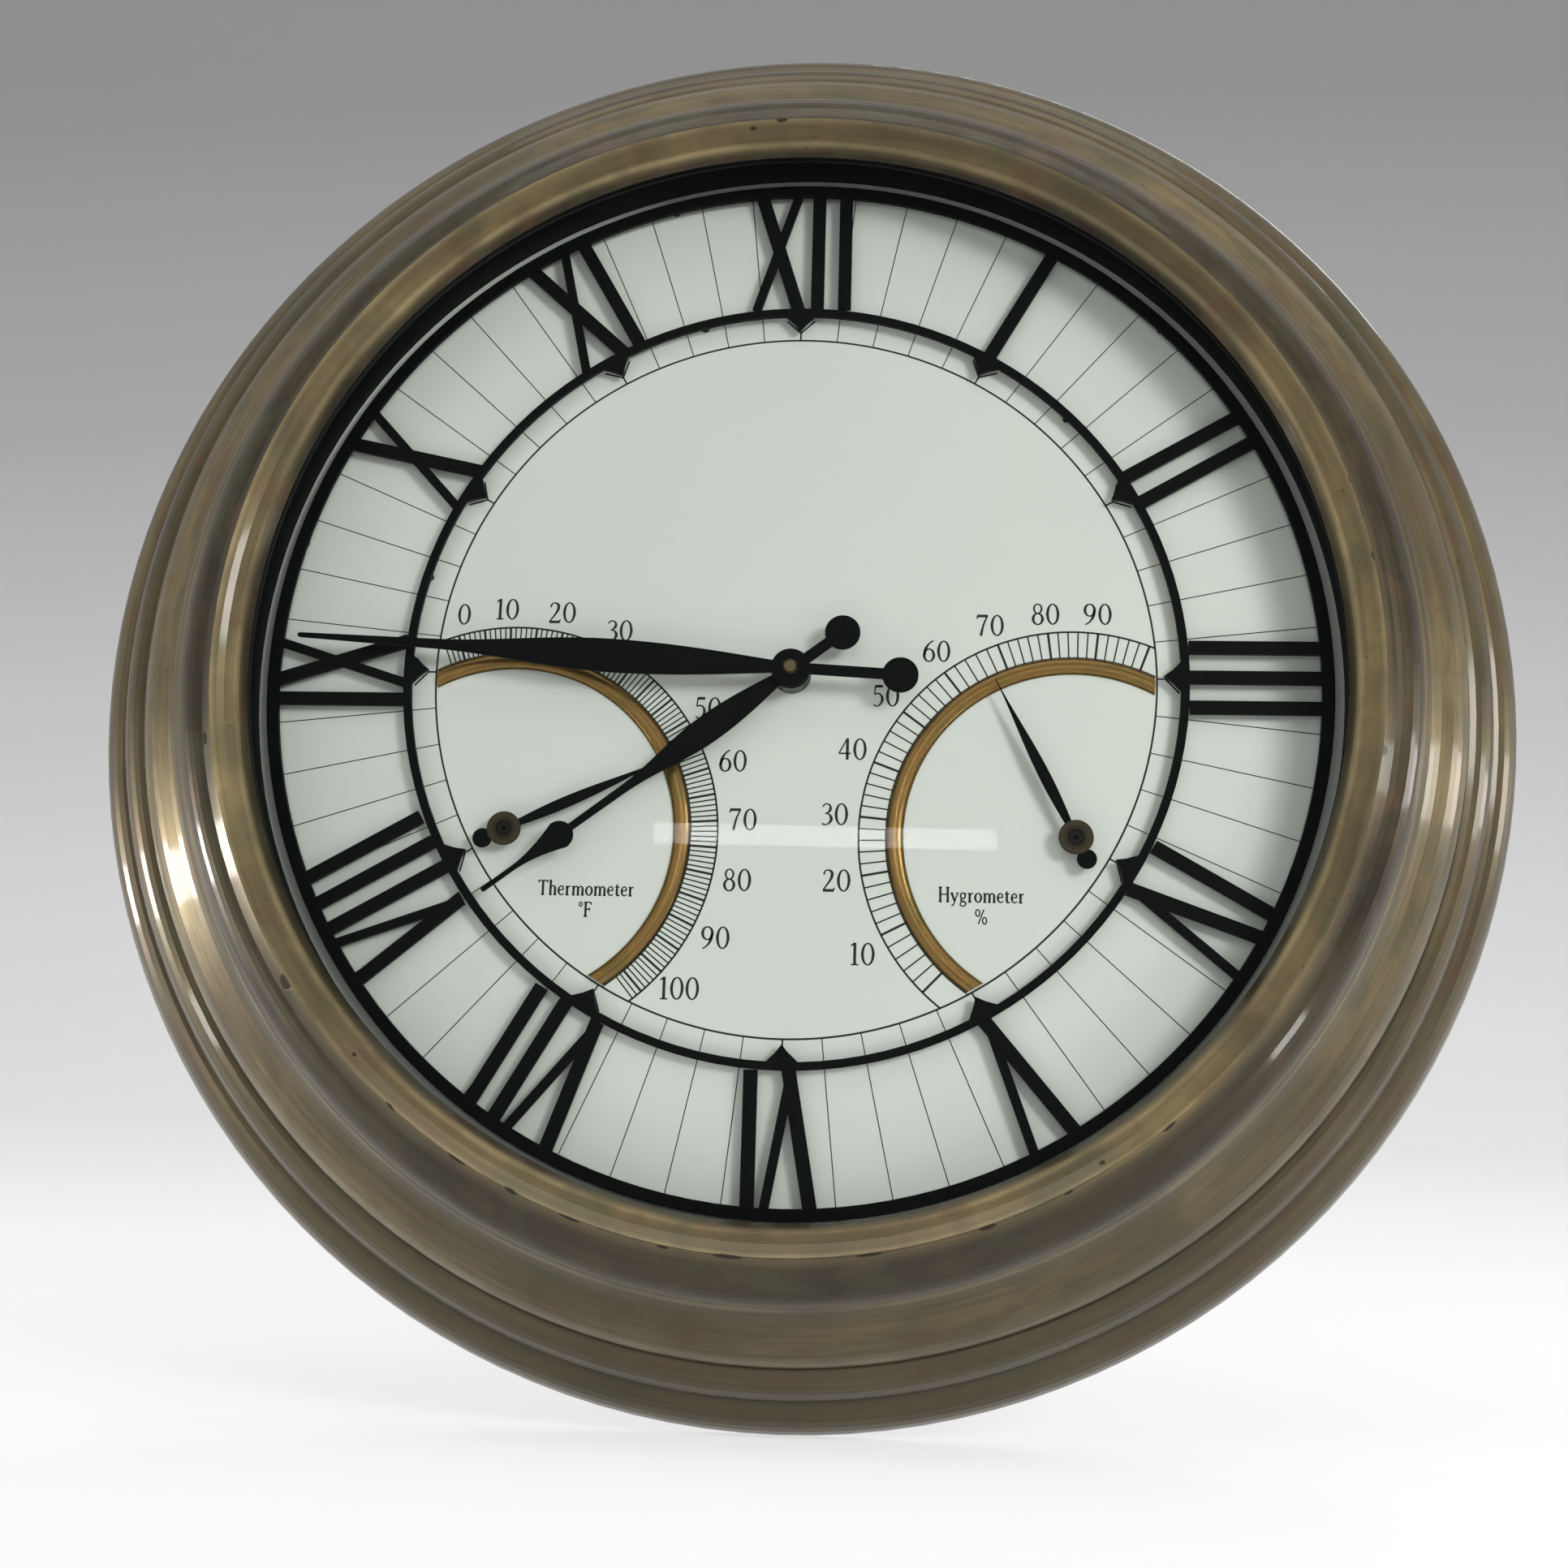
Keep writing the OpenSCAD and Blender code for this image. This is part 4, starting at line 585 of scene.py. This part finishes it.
GLYPHS = {
    "0": (0.56, [ring_stroke(0.28, 0.49, 0.235, 0.47, THIN, STEM)]),
    "1": (0.36, [stem(0.19, 0.02, 0.19, 0.98),
                 [(0.02, 0.84, THIN), (0.19, 0.96, THIN + 0.02)],
                 hair(0.03, 0.02, 0.35, 0.02)]),
    "2": (0.54, [[(0.07, 0.74, 0.08), (0.11, 0.88, 0.06), (0.25, 0.95, THIN), (0.41, 0.85, STEM),
                  (0.41, 0.64, STEM), (0.27, 0.38, 0.075), (0.04, 0.06, THIN)],
                 stem(0.03, 0.04, 0.51, 0.04),
                 hair(0.49, 0.04, 0.53, 0.16)]),
    "3": (0.50, [[(0.07, 0.82, 0.06), (0.15, 0.92, THIN), (0.27, 0.95, THIN), (0.40, 0.86, 0.08),
                  (0.40, 0.68, STEM), (0.30, 0.56, 0.06), (0.19, 0.52, THIN)],
                 [(0.19, 0.52, THIN), (0.34, 0.49, 0.06), (0.44, 0.36, STEM), (0.44, 0.20, STEM),
                  (0.32, 0.05, 0.06), (0.16, 0.01, THIN), (0.05, 0.07, 0.08)]]),
    "4": (0.56, [stem(0.40, 0.0, 0.40, 0.98), hair(0.38, 0.96, 0.03, 0.30),
                 [(0.02, 0.29, 0.06), (0.55, 0.29, 0.06)]]),
    "5": (0.50, [stem(0.13, 0.93, 0.46, 0.93), hair(0.13, 0.95, 0.09, 0.55),
                 [(0.09, 0.55, THIN), (0.24, 0.60, 0.06), (0.38, 0.52, 0.08), (0.44, 0.34, STEM),
                  (0.38, 0.14, 0.08), (0.22, 0.01, THIN), (0.05, 0.07, 0.07)]]),
    "6": (0.54, [ring_stroke(0.28, 0.30, 0.215, 0.29, THIN, STEM),
                 [(0.07, 0.32, STEM), (0.13, 0.60, STEM), (0.29, 0.85, 0.065),
                  (0.48, 0.98, THIN)]]),
    "7": (0.52, [stem(0.03, 0.93, 0.50, 0.93), hair(0.03, 0.94, 0.02, 0.80),
                 [(0.48, 0.94, 0.06), (0.30, 0.50, 0.08), (0.19, 0.0, STEM)]]),
    "8": (0.54, [ring_stroke(0.27, 0.74, 0.17, 0.22, THIN, 0.08),
                 ring_stroke(0.27, 0.26, 0.21, 0.26, THIN, STEM)]),
    "9": (0.54, [ring_stroke(0.26, 0.68, 0.215, 0.28, THIN, STEM),
                 [(0.47, 0.66, STEM), (0.41, 0.38, STEM), (0.25, 0.13, 0.065), (0.06, 0.0, THIN)]]),
    "T": (0.66, [stem(0.33, 0.0, 0.33, 0.97), hair(0.03, 0.95, 0.63, 0.95),
                 hair(0.04, 0.97, 0.03, 0.80), hair(0.62, 0.97, 0.63, 0.80),
                 hair(0.22, 0.02, 0.44, 0.02)]),
    "H": (0.76, [stem(0.14, 0.0, 0.14, 0.98), stem(0.62, 0.0, 0.62, 0.98),
                 hair(0.14, 0.50, 0.62, 0.50), hair(0.03, 0.02, 0.25, 0.02),
                 hair(0.03, 0.96, 0.25, 0.96), hair(0.51, 0.02, 0.73, 0.02),
                 hair(0.51, 0.96, 0.73, 0.96)]),
    "F": (0.54, [stem(0.15, 0.0, 0.15, 0.98), hair(0.03, 0.95, 0.50, 0.95),
                 hair(0.15, 0.50, 0.42, 0.50), hair(0.50, 0.97, 0.51, 0.79),
                 hair(0.42, 0.60, 0.42, 0.41), hair(0.03, 0.02, 0.28, 0.02)]),
    "e": (0.44, [hair(0.05, 0.34, 0.38, 0.36),
                 [(0.38, 0.36, 0.07), (0.33, 0.55, 0.06), (0.21, 0.61, THIN), (0.09, 0.50, 0.07),
                  (0.06, 0.30, STEM), (0.11, 0.11, 0.08), (0.24, 0.02, THIN), (0.40, 0.11, THIN)]]),
    "g": (0.48, [ring_stroke(0.22, 0.42, 0.15, 0.19, THIN, 0.08),
                 [(0.33, 0.54, THIN), (0.45, 0.60, 0.06)],
                 [(0.15, 0.25, THIN), (0.08, 0.13, 0.06), (0.24, 0.06, 0.08), (0.40, -0.04, 0.08),
                  (0.36, -0.20, 0.06), (0.20, -0.26, THIN), (0.05, -0.18, 0.06),
                  (0.10, -0.02, THIN), (0.20, 0.06, THIN)]]),
    "h": (0.56, [stem(0.13, 0.0, 0.13, 1.0), hair(0.03, 0.97, 0.14, 0.99),
                 [(0.13, 0.46, THIN), (0.26, 0.60, THIN), (0.38, 0.58, 0.07), (0.43, 0.44, STEM),
                  (0.43, 0.02, STEM)],
                 hair(0.03, 0.02, 0.23, 0.02), hair(0.33, 0.02, 0.53, 0.02)]),
    "m": (0.86, [stem(0.13, 0.0, 0.13, 0.60), hair(0.03, 0.57, 0.14, 0.60),
                 [(0.13, 0.44, THIN), (0.26, 0.59, THIN), (0.38, 0.56, 0.07), (0.43, 0.42, STEM),
                  (0.43, 0.02, STEM)],
                 [(0.43, 0.44, THIN), (0.56, 0.59, THIN), (0.68, 0.56, 0.07), (0.73, 0.42, STEM),
                  (0.73, 0.02, STEM)],
                 hair(0.03, 0.02, 0.23, 0.02), hair(0.34, 0.02, 0.52, 0.02),
                 hair(0.63, 0.02, 0.83, 0.02)]),
    "o": (0.50, [ring_stroke(0.25, 0.31, 0.19, 0.29, THIN, STEM)]),
    "r": (0.38, [stem(0.13, 0.0, 0.13, 0.60), hair(0.03, 0.57, 0.14, 0.60),
                 [(0.13, 0.42, THIN), (0.22, 0.57, THIN), (0.35, 0.57, 0.08)],
                 hair(0.03, 0.02, 0.25, 0.02)]),
    "t": (0.36, [[(0.15, 0.78, THIN), (0.15, 0.40, STEM), (0.15, 0.12, STEM), (0.23, 0.01, 0.06),
                  (0.34, 0.09, THIN)],
                 hair(0.02, 0.59, 0.32, 0.59)]),
    "y": (0.52, [stem(0.06, 0.59, 0.27, 0.06),
                 [(0.45, 0.59, THIN), (0.27, 0.06, THIN), (0.17, -0.18, 0.06), (0.05, -0.22, 0.08)],
                 hair(0.0, 0.59, 0.17, 0.59), hair(0.36, 0.59, 0.52, 0.59)]),
    "°": (0.28, [ring_stroke(0.14, 0.82, 0.10, 0.13, THIN, 0.05)]),
    "%": (0.80, [ring_stroke(0.18, 0.72, 0.13, 0.22, THIN, 0.06),
                 ring_stroke(0.62, 0.22, 0.13, 0.22, THIN, 0.06),
                 hair(0.58, 0.96, 0.22, 0.0)]),
}

ink = printing_ink()

# All in mm
TRACK_R = 150.0          # the printed circle inside the numeral ring
TRACK_LINE = 0.8
MINUTE_END_R = 221.0
MINUTE_LINE = 0.42
HOUR_V_R = 159.0         # where the two strokes of an hour mark begin
HOUR_V_TIP = 153.4
HOUR_V_SPREAD = 6.0
HOUR_LINE = 0.7
SCALE_IN_R = 76.25       # the tick band of each instrument
SCALE_OUT_R = 87.2
SCALE_IN_LINE = 0.4
LONG_TICK_LINE = 1.0     # at a figure, and halfway on the temperature scale
TICK_LINE = 0.6
FIGURE_GAP = 8.2         # from the tick band to the middle of a figure
FIGURE_SWELL = 2.2       # more at the sides, since the figures stand level
FIGURE_HEIGHT = 9.2
FIGURE_BOLD = 0.08
LABEL_HEIGHT = 6.2
LABEL_BOLD = 0.2
LABEL_GAP = 0.05         # between letters, in heights
LABEL_Y = -23.1          # from the instrument's centre, as the label's x below
UNIT_Y = -31.8
TEMPERATURE_LABEL_X = 34
HUMIDITY_LABEL_X = -37.4


def hour_mark(sheet, angle):
    """Two strokes and a middle line that meet in a point toward the centre."""
    east, north = on_clock(1, angle)
    tip = on_clock(HOUR_V_TIP, angle)
    for side in (-1, 1):
        start = on_clock(HOUR_V_R, angle)
        shift = side * HOUR_V_SPREAD
        sheet.line((start[0] + north * shift, start[1] - east * shift), tip, HOUR_LINE)
    sheet.line(on_clock(TRACK_R, angle), tip, HOUR_LINE)


track = Print("minute_track")
track.circle(TRACK_R, TRACK_LINE)
for minute in range(60):
    if minute % 5:
        track.line(on_clock(TRACK_R, 6 * minute), on_clock(MINUTE_END_R, 6 * minute), MINUTE_LINE)
    else:
        hour_mark(track, 6 * minute)
track.finish()


def reach_to_track(centre, radius, side):
    """Clock angle at which an instrument's circle meets the printed circle."""
    distance = math.hypot(*centre)
    toward = math.degrees(math.atan2(-centre[0], -centre[1]))
    cosine = (distance ** 2 + radius ** 2 - TRACK_R ** 2) / (2 * distance * radius)
    return toward + side * math.degrees(math.acos(cosine))


def instrument(name, centre, ticks, figures, label, unit, label_x):
    """A scale: ticks are (clock angle, long), figures are (clock angle, words)."""
    scale = Print(name, centre)
    for radius, width in ((SCALE_IN_R, SCALE_IN_LINE), (SCALE_OUT_R, TRACK_LINE)):
        ends = [reach_to_track(centre, radius, side) for side in (-1, 1)]
        scale.arc(radius, ends[0], ends[1], width)
    for angle, is_long in ticks:
        inner, outer = on_clock(SCALE_IN_R, angle), on_clock(SCALE_OUT_R, angle)
        if math.hypot(centre[0] + outer[0], centre[1] + outer[1]) <= TRACK_R:
            scale.line(inner, outer, LONG_TICK_LINE if is_long else TICK_LINE)
    for angle, words in figures:
        swell = FIGURE_SWELL * abs(math.sin(math.radians(angle)))
        middle = on_clock(SCALE_OUT_R + FIGURE_GAP + swell, angle)
        scale.text(words, middle, FIGURE_HEIGHT, bold=FIGURE_BOLD)
    scale.text(label, (label_x, LABEL_Y), LABEL_HEIGHT, LABEL_GAP, LABEL_BOLD)
    scale.text(unit, (label_x, UNIT_Y), LABEL_HEIGHT, LABEL_GAP, LABEL_BOLD)
    scale.finish()


TEMPERATURE_ZERO = -17   # clock angle of 0 on the scale
TEMPERATURE_STEP = 1.475
TEMPERATURE_TICKS = range(-3, 108)
TEMPERATURE_FIGURES = range(0, 101, 10)


def temperature_angle(degrees):
    return TEMPERATURE_ZERO + TEMPERATURE_STEP * degrees


# Clock angles of 0, 10, 20 ... 100 per cent
HUMIDITY_TENS = [-136, -117.4, -100.7, -84.6, -69.1, -53, -37.3, -20.8, -6.8, 6.8, 21]
HUMIDITY_TICKS = range(0, 101, 2)
HUMIDITY_FIGURES = range(10, 91, 10)


def humidity_angle(percent):
    """The scale is wider toward dry air, so an angle is read between two tens."""
    low = min(int(percent // 10), 9)
    share = percent / 10 - low
    return HUMIDITY_TENS[low] * (1 - share) + HUMIDITY_TENS[low + 1] * share


# Degrees by which a figure stands off its own long tick
TEMPERATURE_NUDGES = {0: 2.7, 10: -1, 20: -1.6, 30: -0.9, 40: -0.6}
HUMIDITY_NUDGES = {10: -2, 40: 1.1, 50: 0.6, 60: 1.7, 90: -0.7}


def figures_at(turn, values, nudges):
    return [(turn(value) + nudges.get(value, 0), str(value)) for value in values]


instrument(
    "temperature_scale", TEMPERATURE_CENTRE,
    [(temperature_angle(t), t % 5 == 0) for t in TEMPERATURE_TICKS],
    figures_at(temperature_angle, TEMPERATURE_FIGURES, TEMPERATURE_NUDGES),
    "Thermometer", "°F", TEMPERATURE_LABEL_X)
instrument(
    "humidity_scale", HUMIDITY_CENTRE,
    [(humidity_angle(h), h % 10 == 0) for h in HUMIDITY_TICKS],
    figures_at(humidity_angle, HUMIDITY_FIGURES, HUMIDITY_NUDGES),
    "Hygrometer", "%", HUMIDITY_LABEL_X)


# Stage: a pale floor that sweeps up into a backdrop

FLOOR_Z = cad_box[0].z - 0.6 * MM
FLOOR_FRONT_Y = -2.6
SWEEP_Y = 1.7
SWEEP_R = 0.5
SWEEP_STEPS = 12
STAGE_TOP = 3.2
STAGE_HALF_WIDTH = 4
FADE_HEIGHT = 1.9        # over which the paper's painted light goes from white to its darkest grey
FRONT_PAINTED_SHADE = (-0.75, -0.28, 0.35, 1.0)   # two places in Y, and the painted shade at each
PAPER_SHARE = 0.4        # how much of its colour the paper reflects
PAPER_GLOW = 0.63        # and how much it gives off
# Painted light on the paper, brightest at its foot and greyer upward
PAPER_PAINTED_LIGHT_RAMP = [
    (0.0, paint(255, 255, 255)), (0.07, paint(231, 231, 231)), (0.3, paint(205, 205, 205)),
    (0.6, paint(170, 170, 170)), (0.92, paint(146, 146, 146)),
]


def stage_paper():
    """Pale paper that glows, with painted light: white at the foot of the backdrop, grey above it,
    and painted shade toward the front.
    """
    tree = Tree("stage_paper")
    part = tree.add("ShaderNodeSeparateXYZ", {"Vector": tree.place}).outputs
    colour = tree.ramp(tree.span(part["Z"], FLOOR_Z, FLOOR_Z + FADE_HEIGHT), PAPER_PAINTED_LIGHT_RAMP)
    front = tree.span(part["Y"], *FRONT_PAINTED_SHADE)
    colour = tree.mix(1, colour, tree.vector(front, front, front), "MULTIPLY")
    colour = tree.shade(colour, 0.99, 1.01, tree.noise(30))
    share = (PAPER_SHARE, PAPER_SHARE, PAPER_SHARE, 1)
    paper = tree.mix(1, colour, share, "MULTIPLY")
    return tree.surface(Base_Color=paper, Roughness=0.9, Emission_Color=colour,
                        Emission_Strength=PAPER_GLOW)


def make_stage():
    profile = [(FLOOR_FRONT_Y, FLOOR_Z), (SWEEP_Y - SWEEP_R, FLOOR_Z)]
    for i in range(1, SWEEP_STEPS + 1):
        turn = math.radians(90 * i / SWEEP_STEPS)
        profile.append((SWEEP_Y - SWEEP_R + SWEEP_R * math.sin(turn),
                        FLOOR_Z + SWEEP_R * (1 - math.cos(turn))))
    profile.append((SWEEP_Y, FLOOR_Z + STAGE_TOP))
    mesh = bmesh.new()
    rows = [[mesh.verts.new((x, y, z)) for x in (-STAGE_HALF_WIDTH, STAGE_HALF_WIDTH)]
            for y, z in profile]
    for low, high in zip(rows, rows[1:]):
        mesh.faces.new((low[0], low[1], high[1], high[0])).smooth = True
    data = bpy.data.meshes.new("stage")
    mesh.to_mesh(data)
    mesh.free()
    floor = bpy.data.objects.new("stage", data)
    bpy.context.scene.collection.objects.link(floor)
    data.materials.append(stage_paper())


make_stage()


# Lamps: place, target, width and height in m, then watts and outline

CLOCK = (0, -0.05, 0)
DIAL_CENTRE = (0, DIAL_FACE_Y, 0)
LAMPS = {
    "key": ((1.25, -1.6, 0.55), DIAL_CENTRE, 0.6, 0.6, 15, "RECTANGLE"),
    "gleam": ((1.2, -1.4, 0.35), CLOCK, 0.3, 0.3, 4.5, "ELLIPSE"),
    "window_left": ((-1.55, -0.25, -0.19), CLOCK, 0.6, 0.16, 7, "ELLIPSE"),
    "window_low": ((-0.72, -0.4, -0.27), CLOCK, 0.08, 0.1, 0.36, "ELLIPSE"),
    "window_right": ((1.6, -0.1, 0.06), CLOCK, 0.8, 0.24, 4.2, "ELLIPSE"),
    "lamp_right": ((0.5, -0.42, -0.27), CLOCK, 0.05, 0.06, 0.14, "ELLIPSE"),
    "strip": ((-0.059, -1.9, 0.25), DIAL_CENTRE, 0.5, 0.03, 1.5, "RECTANGLE"),
    "top": ((0, -0.8, 1.6), DIAL_CENTRE, 1.6, 0.8, 5, "RECTANGLE"),
    "back_fill": ((0.6, 1.6, 1.2), (0.6, 0, 1.2), 1.2, 0.8, 8, "RECTANGLE"),
}


def softbox(name, place, target, wide, tall, power, shape):
    light = bpy.data.lights.new(name, "AREA")
    light.shape = shape
    light.size = wide
    light.size_y = tall
    light.energy = power
    lamp = bpy.data.objects.new(name, light)
    bpy.context.scene.collection.objects.link(lamp)
    lamp.location = place
    aim = Vector(target) - Vector(place)
    lamp.rotation_euler = aim.to_track_quat("-Z", "Y").to_euler()
    lamp.visible_camera = False
    return lamp


lamps = {name: softbox(name, *values) for name, values in LAMPS.items()}
lamps["key"].visible_glossy = False   # it lights the dial and leaves no glare on it


def soft_sky():
    """Even grey light from all round."""
    world = bpy.data.worlds.new("studio")
    world.use_nodes = True
    background = world.node_tree.nodes["Background"].inputs
    background["Color"].default_value = (0.73, 0.73, 0.72, 1)
    background["Strength"].default_value = 0.7
    bpy.context.scene.world = world


soft_sky()


# Camera: low, close and a little turned, as the photograph was taken

CAMERA_PLACE = (0.0437, -0.7415, -0.191)
CAMERA_TURN = (101.648, -1.5162, 3.4251)
CAMERA_SENSOR = 36
CAMERA_LENS = 40.14


def make_camera():
    data = bpy.data.cameras.new("camera")
    data.sensor_fit = "HORIZONTAL"
    data.sensor_width = CAMERA_SENSOR
    data.lens = CAMERA_LENS
    data.clip_start = 0.01
    camera = bpy.data.objects.new("camera", data)
    bpy.context.scene.collection.objects.link(camera)
    camera.location = CAMERA_PLACE
    camera.rotation_euler = [math.radians(turn) for turn in CAMERA_TURN]
    bpy.context.scene.camera = camera


make_camera()
bpy.context.scene.view_settings.view_transform = "Standard"
